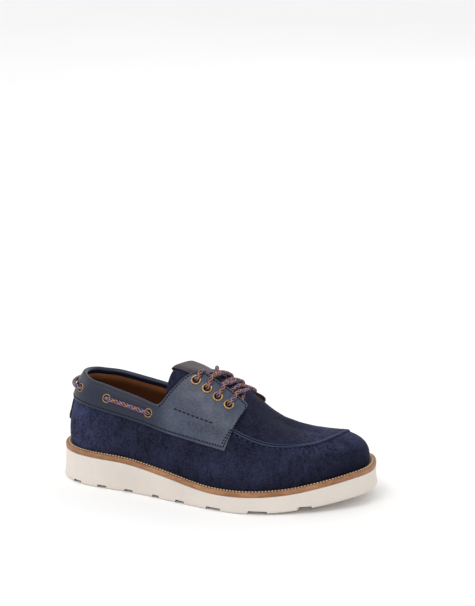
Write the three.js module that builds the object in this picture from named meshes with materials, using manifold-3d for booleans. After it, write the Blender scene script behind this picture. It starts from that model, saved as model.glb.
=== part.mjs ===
// A boat shoe for the right foot: suede upper, leather saddle with four pairs of eyelets, a
// lace threaded round the collar, and a pale wedge outsole under a leather welt.
// Millimetres, +Z up, toe towards +X, the outer (lateral) side of the foot towards -Y.
// The shoe stands on its sole, with the origin on the floor in the middle of its box.
import * as THREE from "three";
import { mergeVertices } from "three/addons/utils/BufferGeometryUtils.js";
import Module from "manifold-3d";

const wasm = await Module();
wasm.setup();

// ---------------------------------------------------------------- driving dimensions
const SOLE_LENGTH = 302;
const TOE_SPRING = 12.3; // height of the underside at the tip of the toe
const SPRING_START = 190; // the underside is flat from the heel to here
const SPRING_POWER = 1.8;
const SIDE_FLARE = 1.2; // the sidewall leans out this much towards the ground
const EDGE_ROUND = 2; // rounding of the outsole's bottom edge
const LUG_DEPTH = 2.2;
const WELT_THICKNESS = 4.6;
const WELT_WIDTH = 12;
const GAP = 0.3; // clearance between touching pieces
const WALL = 2.2; // suede with its lining
const SADDLE_GAP = 0.45;
const SADDLE_WALL = 1.7;
const FACING_LIFT = 2.5; // the free front corner of a facing stands off the vamp
const INSOLE_THICKNESS = 3.5;
const THROAT_X = 181; // the upper is open from here back to the heel
const LACE_RADIUS = 2.1;
const LACE_SIDES = 7;

// The outsole's edge, one row for each section from heel to toe: the half widths on the two
// sides, and the height of the upper face. The foot of the upper stands inside by reveal.
const SECTIONS = [
  { x: 1.2, lateral: 0, medial: 0, top: 27.9, reveal: 5.2 },
  { x: 10, lateral: 23.4, medial: 24, top: 28, reveal: 5 },
  { x: 36, lateral: 38.3, medial: 38.5, top: 28.1, reveal: 4.8 },
  { x: 76, lateral: 43.6, medial: 38, top: 27, reveal: 4.8 },
  { x: 118, lateral: 52.5, medial: 36, top: 21.7, reveal: 4.8 },
  { x: 160, lateral: 62.5, medial: 38.5, top: 15.8, reveal: 4.8 },
  { x: 198, lateral: 65.2, medial: 45.5, top: 15.6, reveal: 4.9 },
  { x: 234, lateral: 54.8, medial: 53, top: 18.2, reveal: 5.2 },
  { x: 264, lateral: 38, medial: 54, top: 23.4, reveal: 5.8 },
  { x: 289, lateral: 16.5, medial: 43, top: 28.3, reveal: 6.4 },
  { x: SOLE_LENGTH - 1.2, lateral: -9, medial: 9, top: 30.3, reveal: 6.6 },
];
// The upper's profile at each of those sections. It rises from the welt to the ridge, which
// lies at x, y and crown. It leaves the welt leaning out by bulge over the height rise, and
// full is the part of the half width over which the ridge is level. archBulge and archFull
// are the same on the medial side.
const PROFILES = [
  { x: 50, y: 0, crown: 128, rise: 38, bulge: 6, full: 0.49, archBulge: 6, archFull: 0.49 },
  { x: 52, y: 0, crown: 127, rise: 38, bulge: 5, full: 0.48, archBulge: 5, archFull: 0.48 },
  { x: 60, y: 0.5, crown: 124, rise: 40, bulge: 2.8, full: 0.45, archBulge: 2.8, archFull: 0.45 },
  { x: 80, y: 1, crown: 123, rise: 42, bulge: 2.5, full: 0.42, archBulge: 4, archFull: 0.46 },
  { x: 118, y: 2, crown: 126, rise: 42, bulge: 3, full: 0.36, archBulge: 7, archFull: 0.52 },
  { x: 160, y: 2, crown: 112, rise: 41, bulge: 3, full: 0.27, archBulge: 7, archFull: 0.48 },
  { x: 196, y: 1.5, crown: 82, rise: 34, bulge: 3, full: 0.45, archBulge: 5, archFull: 0.55 },
  { x: 222, y: 3.5, crown: 66.5, rise: 24, bulge: 3, full: 0.72, archBulge: 3.5, archFull: 0.72 },
  { x: 238, y: 6, crown: 61.8, rise: 19, bulge: 3, full: 0.8, archBulge: 3, archFull: 0.8 },
  { x: 246, y: 7.5, crown: 60.8, rise: 17, bulge: 2.8, full: 0.82, archBulge: 2.8, archFull: 0.82 },
  { x: 249, y: 8, crown: 60.6, rise: 17, bulge: 2.6, full: 0.82, archBulge: 2.6, archFull: 0.82 },
];
const TOE = SECTIONS.length - 1; // place of the toe on the loop round the shoe; the heel is 0
const LOOP = 2 * TOE;

// Upper edge of the suede, from the back of the heel along the collar and under the facing.
const TOP_EDGE = [
  { x: 22, z: 100 },
  { x: 31, z: 97 },
  { x: 47, z: 95 },
  { x: 76, z: 89.2 },
  { x: 103, z: 83 },
  { x: 125, z: 80.5 },
  { x: 150, z: 78 },
  { x: THROAT_X, z: 75 },
];

// Edges of the leather saddle from the front of the facing back to the heel. Each row joins a
// place on the top edge to a place on the lower edge.
const SADDLE = [
  { topX: 183, topZ: 79, lowX: 176.5, lowZ: 53.5 },
  { topX: 185.5, topZ: 84, lowX: 173.5, lowZ: 54 },
  { topX: 183.5, topZ: 88, lowX: 170.5, lowZ: 54.4 },
  { topX: 173, topZ: 96.5, lowX: 163, lowZ: 55.5 },
  { topX: 158, topZ: 105.5, lowX: 153, lowZ: 56.8 },
  { topX: 145, topZ: 112.5, lowX: 143, lowZ: 58.2 },
  { topX: 136, topZ: 114, lowX: 135, lowZ: 59.2 },
  { topX: 127, topZ: 109.5, lowX: 127, lowZ: 60.2 },
  { topX: 116.5, topZ: 98, lowX: 117, lowZ: 61.5 },
  { topX: 108, topZ: 86.5, lowX: 107, lowZ: 63.2 },
  { topX: 102, topZ: 83.6, lowX: 100, lowZ: 64.5 },
  { topX: 90, topZ: 86.4, lowX: 89, lowZ: 66.4 },
  { topX: 76, topZ: 89.4, lowX: 75, lowZ: 68.5 },
  { topX: 60, topZ: 92.6, lowX: 56, lowZ: 71.2 },
  { topX: 47, topZ: 95.2, lowX: 40, lowZ: 73.4 },
  { topX: 34, topZ: 96.8, lowX: 25, lowZ: 75.2 },
  { topX: 26, topZ: 98.8, lowX: 14, lowZ: 76 },
];
// The medial facing stands further forward than the lateral one, and so a little lower.
const MEDIAL_SHIFT = { x: 4, z: -5 };
const SADDLE_BACK = { topZ: 100.2, lowZ: 76.4 };

// Eyelets, as places on the saddle seen from the side.
const FACING_EYELETS = [
  { name: "1", x: 137.5, z: 107 },
  { name: "2", x: 149, z: 101 },
  { name: "3", x: 160, z: 94.8 },
  { name: "4", x: 171, z: 88.5 },
];
const COLLAR_EYELETS = [
  { name: "front", x: 97, z: 76.5 },
  { name: "middle", x: 53, z: 84 },
  { name: "rear", x: 24, z: 88 },
];
const EYELET_HOLE = 3.1; // clear radius
const EYELET_BARREL = 3.7;
const FACING_FLANGE = 4.9;
const COLLAR_FLANGE = 4.3;
const FLANGE_HEIGHT = 0.9;
const FLANGE_GAP = 0.8; // the leather curves away under a flat flange
const EYELET_SIDES = 8;
const DRILL = EYELET_BARREL + 0.5; // corners of the holes in the leather

// The tongue under the facings, from the throat to its top edge: how far it reaches to each
// side, and the heights of its outer face in the middle and at its sides.
const TONGUE = [
  { x: 196, lateral: 16, medial: 15, middle: 77.2, side: 74 },
  { x: 187, lateral: 18, medial: 17, middle: 85, side: 76 },
  { x: 177, lateral: 23, medial: 20, middle: 92.4, side: 79.5 },
  { x: 170, lateral: 25, medial: 22, middle: 96.6, side: 82 },
  { x: 160, lateral: 25, medial: 21.5, middle: 102, side: 86.5 },
  { x: 150, lateral: 25, medial: 21, middle: 106.8, side: 90.5 },
  { x: 140, lateral: 25, medial: 20.5, middle: 111.3, side: 92.5 },
  { x: 130, lateral: 25, medial: 20, middle: 115, side: 93.5 },
  { x: 120, lateral: 25, medial: 19.5, middle: 118, side: 94.5 },
  { x: 112.5, lateral: 24, medial: 18.5, middle: 119.3, side: 96 },
];
const TONGUE_ARCH = 2.6; // how flat the tongue is in the middle
const TONGUE_SKEW = 0.15; // its top edge runs forward towards the medial side
const TONGUE_THICKNESS = 2.8;
const LABEL_HALF_WIDTH = 16;
const LABEL_LENGTH = 16;
const LABEL_THICKNESS = 1;
const LABEL_GAP = 0.6;

// Grooves between the lugs, across the whole sole.
const GROOVES = [
  { x: 24, width: 8.5 },
  { x: 51, width: 9 },
  { x: 79, width: 8.5 },
  { x: 108, width: 7 },
  { x: 134, width: 9 },
  { x: 169, width: 14 },
  { x: 211, width: 17 },
  { x: 251, width: 11 },
];

// ---------------------------------------------------------------- curves
// A closed smooth curve that passes through the values at 0, 1, 2 and so on.
function closedCurve(values) {
  const count = values.length;
  let control = values.slice();
  for (let round = 0; round < 60; round++) {
    control = control.map((_, i) => {
      return (6 * values[i] - control[(i + count - 1) % count] - control[(i + 1) % count]) / 4;
    });
  }
  return (t) => {
    const start = Math.floor(t);
    const f = t - start;
    const weights = [
      (1 - f) ** 3 / 6,
      (3 * f ** 3 - 6 * f ** 2 + 4) / 6,
      (-3 * f ** 3 + 3 * f ** 2 + 3 * f + 1) / 6,
      f ** 3 / 6,
    ];
    const at = (k) => control[(((start + k) % count) + count) % count];
    return weights.reduce((sum, weight, k) => sum + weight * at(k - 1), 0);
  };
}

// A smooth open curve through rows with rising x, as a function of x.
function heightOver(rows) {
  const slope = (k) => {
    const a = rows[Math.max(k - 1, 0)];
    const b = rows[Math.min(k + 1, rows.length - 1)];
    return (b.z - a.z) / (b.x - a.x);
  };
  return (x) => {
    let k = 0;
    while (k < rows.length - 2 && x > rows[k + 1].x) k++;
    const width = rows[k + 1].x - rows[k].x;
    const f = Math.min(Math.max((x - rows[k].x) / width, 0), 1);
    return (
      rows[k].z * (2 * f ** 3 - 3 * f ** 2 + 1) +
      rows[k + 1].z * (3 * f ** 2 - 2 * f ** 3) +
      width * slope(k) * (f ** 3 - 2 * f ** 2 + f) +
      width * slope(k + 1) * (f ** 3 - f ** 2)
    );
  };
}

const smooth = (a, b, x) => {
  const f = Math.min(Math.max((x - a) / (b - a), 0), 1);
  return f * f * (3 - 2 * f);
};

// Columns of the section table as closed curves: heel, lateral side, toe, medial side.
function column(table, lateral, medial = lateral) {
  const outerSide = table.map((row) => row[lateral]);
  const innerSide = table.slice(1, -1).toReversed().map((row) => row[medial]);
  return closedCurve([...outerSide, ...innerSide]);
}
const edgeX = column(SECTIONS, "x");
const edgeY = column(
  SECTIONS.map((row) => ({ ...row, lateral: -row.lateral })),
  "lateral",
  "medial",
);
const reveal = column(SECTIONS, "reveal");
const ridgeX = column(PROFILES, "x");
const ridgeY = column(PROFILES, "y");
const crown = column(PROFILES, "crown");
const rise = column(PROFILES, "rise");
const bulge = column(PROFILES, "bulge", "archBulge");
const full = column(PROFILES, "full", "archFull");

// ---------------------------------------------------------------- the last's surface
// The outsole's outline at place t of the loop, moved inwards by inset.
function outline(t, inset, z) {
  const step = 0.01;
  const tangent = new THREE.Vector2(edgeX(t + step) - edgeX(t - step), edgeY(t + step) - edgeY(t - step));
  tangent.normalize();
  return new THREE.Vector3(edgeX(t) - tangent.y * inset, edgeY(t) + tangent.x * inset, z);
}

// Heights along the shoe of the outsole's and the welt's upper faces.
const soleTop = heightOver(SECTIONS.map((row) => ({ x: row.x, z: row.top })));
const weltTop = (x) => soleTop(x) + WELT_THICKNESS;

// A point of the upper's outer surface: t goes round the shoe, and u up from the welt (0) to
// the ridge (1), on a cubic curve.
function surface(t, u) {
  const foot = outline(t, reveal(t), 0);
  foot.z = weltTop(foot.x) + GAP;
  const ridge = new THREE.Vector3(ridgeX(t), ridgeY(t), crown(t));
  const inwards = new THREE.Vector3(ridge.x - foot.x, ridge.y - foot.y, 0);
  const depth = inwards.length();
  const v = 1 - u;
  const reach = -3 * v * v * u * bulge(t) + 3 * v * u * u * depth * (1 - full(t)) + u ** 3 * depth;
  const height =
    v ** 3 * foot.z + 3 * v * v * u * (foot.z + rise(t)) + (3 * v * u * u + u ** 3) * ridge.z;
  return new THREE.Vector3(foot.x, foot.y, height).addScaledVector(inwards, reach / depth);
}

// The outward direction there. On the ridge it is shared by the two sides.
function outward(t, u) {
  const step = 0.004;
  const low = Math.min(u, 0.97);
  const one = (place) => {
    const along = surface(place + step, low).sub(surface(place - step, low));
    const up = surface(place, low + step).sub(surface(place, low - step));
    return along.cross(up).normalize();
  };
  return u < 1 ? one(t) : one(t).add(one(-t)).normalize();
}

const offset = (t, u, distance) => surface(t, u).addScaledVector(outward(t, u), distance);

// The place (t, u) where the surface has the wanted values of x and of y or z.
// side is -1 on the lateral side and 1 on the medial side.
function locate(side, wanted) {
  const axis = wanted.z === undefined ? "y" : "z";
  const place = { t: 5, u: 0.5 };
  const error = (t, u) => {
    const p = surface(-side * t, u);
    return [p.x - wanted.x, p[axis] - wanted[axis]];
  };
  place.t = 1 + (8 * Math.min(Math.max(wanted.x, 9), 264)) / 270;
  for (let round = 0; round < 40; round++) {
    const step = 0.001;
    const e = error(place.t, place.u);
    const et = error(place.t + step, place.u);
    const eu = error(place.t, place.u + step);
    const a = (et[0] - e[0]) / step;
    const b = (eu[0] - e[0]) / step;
    const c = (et[1] - e[1]) / step;
    const d = (eu[1] - e[1]) / step;
    const determinant = a * d - b * c;
    const dt = (d * e[0] - b * e[1]) / determinant;
    const du = (a * e[1] - c * e[0]) / determinant;
    place.t -= Math.min(Math.max(dt, -0.4), 0.4);
    place.u -= Math.min(Math.max(du, -0.1), 0.1);
    place.u = Math.min(Math.max(place.u, 0.02), 0.999);
  }
  return { t: -side * place.t, u: place.u };
}

// ---------------------------------------------------------------- making solids
class Shell {
  constructor() {
    this.points = [];
    this.triangles = [];
  }

  add(grid) {
    return grid.map((row) => row.map((point) => this.points.push(point) - 1));
  }

  quad(a, b, c, d) {
    this.triangles.push(a, b, c, a, c, d);
  }

  // Faces between two rings or rows of corners. The first ring is the lower one.
  band(low, high, closed) {
    const count = closed ? low.length : low.length - 1;
    for (let i = 0; i < count; i++) {
      const next = (i + 1) % low.length;
      this.quad(low[i], low[next], high[next], high[i]);
    }
  }

  // Fills a ring that starts at the heel, with strips across the shoe.
  lid(ring, facingUp) {
    const count = ring.length;
    const half = count / 2;
    const put = (a, b, c) => this.triangles.push(...(facingUp ? [a, b, c] : [a, c, b]));
    put(ring[0], ring[1], ring[count - 1]);
    for (let i = 1; i < half - 1; i++) {
      put(ring[i], ring[i + 1], ring[count - i - 1]);
      put(ring[i], ring[count - i - 1], ring[count - i]);
    }
    put(ring[half - 1], ring[half], ring[half + 1]);
  }

  geometry() {
    const positions = new Float32Array(this.points.flatMap((p) => [p.x, p.y, p.z]));
    const result = new THREE.BufferGeometry();
    result.setAttribute("position", new THREE.BufferAttribute(positions, 3));
    result.setIndex(this.triangles);
    return withoutSlivers(mergeVertices(result, 0.002));
  }
}

// Triangles whose corners have merged are left out.
function withoutSlivers(geometry) {
  const index = geometry.index.array;
  const kept = [];
  for (let i = 0; i < index.length; i += 3) {
    const [a, b, c] = [index[i], index[i + 1], index[i + 2]];
    if (a !== b && b !== c && c !== a) kept.push(a, b, c);
  }
  geometry.setIndex(kept);
  return geometry;
}

// A closed sheet with thickness, between two grids of points of the same size.
function slab(outer, innerGrid) {
  const shell = new Shell();
  const out = shell.add(outer);
  const back = shell.add(innerGrid);
  const last = out.length - 1;
  const end = out[0].length - 1;
  for (let i = 0; i < last; i++) {
    for (let j = 0; j < end; j++) {
      shell.quad(out[i][j], out[i + 1][j], out[i + 1][j + 1], out[i][j + 1]);
      shell.quad(back[i][j], back[i][j + 1], back[i + 1][j + 1], back[i + 1][j]);
    }
    shell.quad(back[i][0], back[i + 1][0], out[i + 1][0], out[i][0]);
    shell.quad(out[i][end], out[i + 1][end], back[i + 1][end], back[i][end]);
  }
  for (let j = 0; j < end; j++) {
    shell.quad(out[0][j], out[0][j + 1], back[0][j + 1], back[0][j]);
    shell.quad(out[last][j + 1], out[last][j], back[last][j], back[last][j + 1]);
  }
  return shell.geometry();
}

// Solids for joining and cutting.
function toSolid(geometry) {
  const bare = geometry.clone();
  bare.deleteAttribute("normal");
  bare.deleteAttribute("uv");
  const merged = mergeVertices(bare, 0.001);
  return new wasm.Manifold(
    new wasm.Mesh({
      numProp: 3,
      vertProperties: Float32Array.from(merged.attributes.position.array),
      triVerts: Uint32Array.from(merged.index.array),
    }),
  );
}

function fromSolid(solid) {
  const mesh = solid.getMesh();
  const result = new THREE.BufferGeometry();
  result.setAttribute("position", new THREE.BufferAttribute(mesh.vertProperties.slice(), 3));
  result.setIndex(Array.from(mesh.triVerts));
  return result;
}

// A round cord along a smooth curve through the points.
function cord(points, steps) {
  const round = new THREE.Shape();
  for (let k = 0; k < LACE_SIDES; k++) {
    const angle = (2 * Math.PI * k) / LACE_SIDES;
    const [x, y] = [LACE_RADIUS * Math.cos(angle), LACE_RADIUS * Math.sin(angle)];
    if (k === 0) round.moveTo(x, y);
    else round.lineTo(x, y);
  }
  round.closePath();
  const path = new THREE.CatmullRomCurve3(points, false, "centripetal");
  return new THREE.ExtrudeGeometry(round, { steps, bevelEnabled: false, extrudePath: path });
}

const loopPlaces = (count) => Array.from({ length: count }, (_, i) => (LOOP * i) / count);
const ringAt = (places, inset, height) => {
  return places.map((t) => {
    const p = outline(t, inset, 0);
    p.z = height(p.x);
    return p;
  });
};

// ---------------------------------------------------------------- outsole
const SOLE_STEPS = 64;
const soleBottom = (x) => {
  return TOE_SPRING * (Math.max(x - SPRING_START, 0) / (SOLE_LENGTH - SPRING_START)) ** SPRING_POWER;
};

function outsole() {
  const places = loopPlaces(SOLE_STEPS);
  const under = (inset, lift) => ringAt(places, inset, (x) => soleBottom(x) + lift);
  const shell = new Shell();
  const rings = shell.add([
    under(EDGE_ROUND, 0),
    under(EDGE_ROUND * 0.29 - SIDE_FLARE, EDGE_ROUND * 0.29),
    under(-SIDE_FLARE, EDGE_ROUND),
    ringAt(places, 0, soleTop),
    ringAt(places, WELT_WIDTH + GAP, soleTop),
    ringAt(places, WELT_WIDTH + GAP, weltTop),
  ]);
  for (let k = 1; k < rings.length; k++) shell.band(rings[k - 1], rings[k], true);
  shell.lid(rings[0], false);
  shell.lid(rings[rings.length - 1], true);
  let solid = toSolid(shell.geometry());
  for (const groove of GROOVES) {
    const ceiling = soleBottom(groove.x) + LUG_DEPTH;
    const depth = ceiling + 10;
    const shape = new THREE.Shape();
    shape.moveTo(-groove.width / 2 - LUG_DEPTH * 0.4, 0);
    shape.lineTo(groove.width / 2 + LUG_DEPTH * 0.4, 0);
    shape.lineTo(groove.width / 2 - LUG_DEPTH * 0.4, depth);
    shape.lineTo(-groove.width / 2 + LUG_DEPTH * 0.4, depth);
    shape.closePath();
    const cutter = new THREE.ExtrudeGeometry(shape, { depth: 180, bevelEnabled: false });
    cutter.rotateX(Math.PI / 2);
    cutter.translate(groove.x, 90, ceiling - depth);
    solid = solid.subtract(toSolid(cutter));
  }
  return fromSolid(solid);
}

// ---------------------------------------------------------------- welt and insole
function welt() {
  const places = loopPlaces(SOLE_STEPS);
  const shell = new Shell();
  const low = (x) => soleTop(x) + GAP;
  const rings = shell.add([
    ringAt(places, 0.6, low),
    ringAt(places, 0, (x) => soleTop(x) + WELT_THICKNESS * 0.4),
    ringAt(places, 0.5, weltTop),
    ringAt(places, WELT_WIDTH, weltTop),
    ringAt(places, WELT_WIDTH, low),
  ]);
  for (let k = 0; k < rings.length; k++) shell.band(rings[k], rings[(k + 1) % rings.length], true);
  return shell.geometry();
}

function insole() {
  const places = loopPlaces(SOLE_STEPS);
  const ring = (lift) => {
    return places.map((t) => {
      const p = outline(t, reveal(t) + WALL + 2 * GAP, 0);
      p.z = weltTop(p.x) + GAP + lift;
      return p;
    });
  };
  const shell = new Shell();
  const rings = shell.add([ring(0), ring(INSOLE_THICKNESS)]);
  shell.band(rings[0], rings[1], true);
  shell.lid(rings[0], false);
  shell.lid(rings[1], true);
  return shell.geometry();
}

// ---------------------------------------------------------------- upper
const UPPER_STEPS = 6; // from the welt to the upper edge
const VAMP_STEPS = 3; // from there to the ridge, where the vamp closes over it
const UPPER_STRIDE = 0.25; // round the shoe
const topEdgeHeight = heightOver(TOP_EDGE);

// Where the ridge reaches THROAT_X.
function throatPlace() {
  let t = 5;
  while (ridgeX(t) < THROAT_X) t += 0.001;
  return t;
}
const THROAT = throatPlace();

// u of the upper edge at t. In front of the throat it stays as it is there.
function edgeU(t) {
  const place = Math.max(Math.min(t, THROAT), -THROAT);
  let low = 0.2;
  let high = 0.98;
  for (let round = 0; round < 40; round++) {
    const middle = (low + high) / 2;
    const p = surface(place, middle);
    if (p.z < topEdgeHeight(p.x)) low = middle;
    else high = middle;
  }
  return low;
}

// Places round the shoe from the heel, along the lateral side to the toe, and back.
function upperPlaces() {
  const side = [THROAT];
  for (let t = UPPER_STRIDE; t < TOE; t += UPPER_STRIDE) {
    if (Math.abs(t - THROAT) > UPPER_STRIDE / 3) side.push(t);
  }
  side.sort((a, b) => a - b);
  return [0, ...side, TOE, ...side.toReversed().map((t) => -t)];
}

function upper() {
  const places = upperPlaces();
  const count = places.length;
  const edge = UPPER_STEPS;
  const top = UPPER_STEPS + VAMP_STEPS;
  const grid = (distance) => {
    return places.map((t) => {
      const edgeAt = edgeU(t);
      return Array.from({ length: top + 1 }, (_, j) => {
        const low = Math.min(j, edge) / edge;
        const high = Math.max(j - edge, 0) / VAMP_STEPS;
        const p = offset(t, edgeAt * low + (1 - edgeAt) * high, -distance);
        if (j === 0) p.z = weltTop(p.x) + GAP;
        return p;
      });
    });
  };
  const shell = new Shell();
  const out = shell.add(grid(0));
  const back = shell.add(grid(WALL));
  for (let i = 0; i < count; i++) {
    const next = (i + 1) % count;
    const isOpen = Math.min(Math.abs(places[i]), Math.abs(places[next])) < THROAT;
    for (let j = 0; j < (isOpen ? edge : top); j++) {
      shell.quad(out[i][j], out[next][j], out[next][j + 1], out[i][j + 1]);
      shell.quad(back[i][j], back[i][j + 1], back[next][j + 1], back[next][j]);
    }
    shell.quad(back[i][0], back[next][0], out[next][0], out[i][0]);
    if (isOpen) shell.quad(out[i][edge], out[next][edge], back[next][edge], back[i][edge]);
  }
  // the edge across the throat
  const near = places.indexOf(THROAT);
  const far = places.indexOf(-THROAT);
  for (let j = edge; j < top; j++) {
    shell.quad(out[near][j], out[near][j + 1], back[near][j + 1], back[near][j]);
    shell.quad(out[far][j + 1], out[far][j], back[far][j], back[far][j + 1]);
  }
  return shell.geometry();
}

// ---------------------------------------------------------------- saddle
const SADDLE_ACROSS = 4;
const SADDLE_BETWEEN = 2; // steps between two rows of the table

// Distance of the saddle's inner face from the suede. across is 0 at the lower edge.
const saddleOffset = (x, across) => {
  return SADDLE_GAP + FACING_LIFT * smooth(177, 188, x) * smooth(0.35, 1, across);
};

// The place on the surface of a point of the saddle that is seen from the side at x and z.
function saddlePlace(side, x, z, shifted) {
  const share = side > 0 ? smooth(108, 150, x) : 0;
  return locate(side, { x: x + MEDIAL_SHIFT.x * share, z: z + (shifted ? MEDIAL_SHIFT.z * share : 0) });
}

// The rows of the saddle as places on the surface, from the lateral front round the heel.
function saddleRows() {
  const side = (sign) => {
    return SADDLE.map((row) => ({
      top: saddlePlace(sign, row.topX, row.topZ, true),
      low: saddlePlace(sign, row.lowX, row.lowZ, false),
    }));
  };
  const backU = (z) => {
    let u = 0.2;
    while (surface(0, u).z < z) u += 0.0005;
    return { t: 0, u };
  };
  const back = { top: backU(SADDLE_BACK.topZ), low: backU(SADDLE_BACK.lowZ) };
  return [...side(1), back, ...side(-1).toReversed()];
}

function saddleSheet() {
  const rows = saddleRows();
  const spline = (edge) => {
    return new THREE.CatmullRomCurve3(
      rows.map((row) => new THREE.Vector3(row[edge].t, row[edge].u, 0)),
      false,
      "catmullrom",
      0.5,
    );
  };
  const topEdge = spline("top");
  const lowEdge = spline("low");
  const count = (rows.length - 1) * SADDLE_BETWEEN;
  const grid = (thickness) => {
    return Array.from({ length: count + 1 }, (_, i) => {
      const high = topEdge.getPoint(i / count);
      const low = lowEdge.getPoint(i / count);
      return Array.from({ length: SADDLE_ACROSS + 1 }, (_, j) => {
        const across = j / SADDLE_ACROSS;
        const t = low.x + (high.x - low.x) * across;
        const u = low.y + (high.y - low.y) * across;
        return offset(t, u, saddleOffset(surface(t, u).x, across) + thickness);
      });
    });
  };
  return slab(grid(SADDLE_WALL), grid(0));
}

// Where an eyelet sits: the middle of the leather's outer face, and the outward direction.
function eyeletSeat(side, eyelet, onFacing) {
  const place = saddlePlace(side, eyelet.x, eyelet.z, true);
  const p = surface(place.t, place.u);
  const lift = onFacing ? saddleOffset(p.x, onFacing) : SADDLE_GAP;
  const direction = outward(place.t, place.u);
  return { seat: p.addScaledVector(direction, lift + SADDLE_WALL), direction };
}

const SIDES = [
  { name: "lateral", sign: -1 },
  { name: "medial", sign: 1 },
];
const FACING_ACROSS = 0.8; // how far up the facing its eyelets sit

function seats() {
  const result = [];
  for (const side of SIDES) {
    for (const eyelet of FACING_EYELETS) {
      const name = `facing_eyelet_${side.name}_${eyelet.name}`;
      result.push({ name, onFacing: true, ...eyeletSeat(side.sign, eyelet, FACING_ACROSS) });
    }
    for (const eyelet of COLLAR_EYELETS) {
      const name = `collar_eyelet_${side.name}_${eyelet.name}`;
      result.push({ name, onFacing: false, ...eyeletSeat(side.sign, eyelet, 0) });
    }
  }
  return result;
}

function turned(geometry, seat) {
  const turn = new THREE.Quaternion().setFromUnitVectors(new THREE.Vector3(0, 1, 0), seat.direction);
  geometry.applyQuaternion(turn);
  geometry.translate(seat.seat.x, seat.seat.y, seat.seat.z);
  return geometry;
}

function saddle(allSeats) {
  let solid = toSolid(saddleSheet());
  for (const seat of allSeats) {
    const drill = new THREE.CylinderGeometry(DRILL, DRILL, 12, EYELET_SIDES);
    solid = solid.subtract(toSolid(turned(drill, seat)));
  }
  return fromSolid(solid);
}

// ---------------------------------------------------------------- eyelets
// A ring with a flange on the leather. Facing eyelets have a second flange behind it.
function eyelet(seat) {
  const flange = seat.onFacing ? FACING_FLANGE : COLLAR_FLANGE;
  const over = FLANGE_GAP;
  const under = -SADDLE_WALL - FLANGE_GAP;
  const front = [
    [flange, over],
    [flange - 0.3, over + FLANGE_HEIGHT * 0.7],
    [EYELET_HOLE, over + FLANGE_HEIGHT * 0.7],
  ];
  const rear = seat.onFacing
    ? [[EYELET_HOLE, under - 0.6], [flange - 0.4, under - 0.6], [flange - 0.4, under], [EYELET_BARREL, under]]
    : [[EYELET_HOLE, -SADDLE_WALL], [EYELET_BARREL, -SADDLE_WALL]];
  const outlinePoints = [...front, ...rear, [EYELET_BARREL, over], front[0]];
  const profile = outlinePoints.map(([x, y]) => new THREE.Vector2(x, y));
  const geometry = new THREE.LatheGeometry(profile, EYELET_SIDES);
  geometry.deleteAttribute("normal");
  geometry.deleteAttribute("uv");
  return turned(withoutSlivers(mergeVertices(geometry, 0.001)), seat);
}

// ---------------------------------------------------------------- tongue
const tongueColumn = (key) => heightOver(TONGUE.toReversed().map((row) => ({ x: row.x, z: row[key] })));
const tongueReach = { lateral: tongueColumn("lateral"), medial: tongueColumn("medial") };
const tongueMiddle = tongueColumn("middle");
const tongueSide = tongueColumn("side");

const tongueHeight = (x, y) => {
  const reach = y < 0 ? tongueReach.lateral(x) : tongueReach.medial(x);
  const middle = tongueMiddle(x);
  return middle - (middle - tongueSide(x)) * Math.abs(y / reach) ** TONGUE_ARCH;
};

// A point of the tongue's outer face, or moved into the shoe by depth.
function tonguePoint(x, y, depth) {
  const step = 0.3;
  const slopeX = (tongueHeight(x + step, y) - tongueHeight(x - step, y)) / (2 * step);
  const slopeY = (tongueHeight(x, y + step) - tongueHeight(x, y - step)) / (2 * step);
  const up = new THREE.Vector3(-slopeX, -slopeY, 1).normalize();
  return new THREE.Vector3(x, y, tongueHeight(x, y)).addScaledVector(up, -depth);
}

// A point at x and y, seen from above, that lies inside the upper's surface by depth.
function inside(x, y, depth) {
  const place = locate(Math.sign(y), { x, y });
  return offset(place.t, place.u, -depth);
}

const TONGUE_END = TONGUE[TONGUE.length - 1].x;

function tongue() {
  const along = 12;
  const across = 8;
  const grid = (extra) => {
    return Array.from({ length: across + 1 }, (_, j) => {
      return Array.from({ length: along + 1 }, (_, i) => {
        const share = 1 - (2 * j) / across;
        const straight = TONGUE_END + ((TONGUE[0].x - TONGUE_END) * i) / along;
        const y = share * tongueReach[share < 0 ? "lateral" : "medial"](straight);
        return tonguePoint(straight + TONGUE_SKEW * y * (1 - i / along), y, extra);
      });
    });
  };
  return slab(grid(0), grid(TONGUE_THICKNESS));
}

// A tab folded over the top edge of the tongue.
function tongueLabel() {
  const middle = TONGUE_THICKNESS / 2;
  const fold = (gap) => [
    { x: LABEL_LENGTH, extra: -gap },
    { x: LABEL_LENGTH / 2, extra: -gap },
    { x: 0, extra: -gap },
    { x: -gap * 0.8, extra: -gap * 0.4 },
    { x: -gap, extra: middle },
    { x: -gap * 0.8, extra: TONGUE_THICKNESS + gap * 0.4 },
    { x: 0, extra: TONGUE_THICKNESS + gap },
    { x: LABEL_LENGTH / 2, extra: TONGUE_THICKNESS + gap },
    { x: LABEL_LENGTH, extra: TONGUE_THICKNESS + gap },
  ];
  const across = 6;
  const grid = (gap) => {
    return Array.from({ length: across + 1 }, (_, j) => {
      const y = LABEL_HALF_WIDTH * ((2 * j) / across - 1);
      return fold(gap).map((row) => tonguePoint(TONGUE_END + row.x + TONGUE_SKEW * y, y, row.extra));
    });
  };
  return slab(grid(LABEL_GAP + LABEL_THICKNESS), grid(LABEL_GAP));
}

// ---------------------------------------------------------------- laces
const CORD_REST = LACE_RADIUS + 2 * GAP; // height of a cord's middle over what it lies on
const above = (seat, distance) => seat.seat.clone().addScaledVector(seat.direction, distance);
const seatNamed = (allSeats, name) => allSeats.find((seat) => seat.name === name);
const facingSeat = (allSeats, side, k) => seatNamed(allSeats, `facing_eyelet_${SIDES[side].name}_${k}`);
const collarSeat = (allSeats, side, name) => seatNamed(allSeats, `collar_eyelet_${SIDES[side].name}_${name}`);

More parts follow.
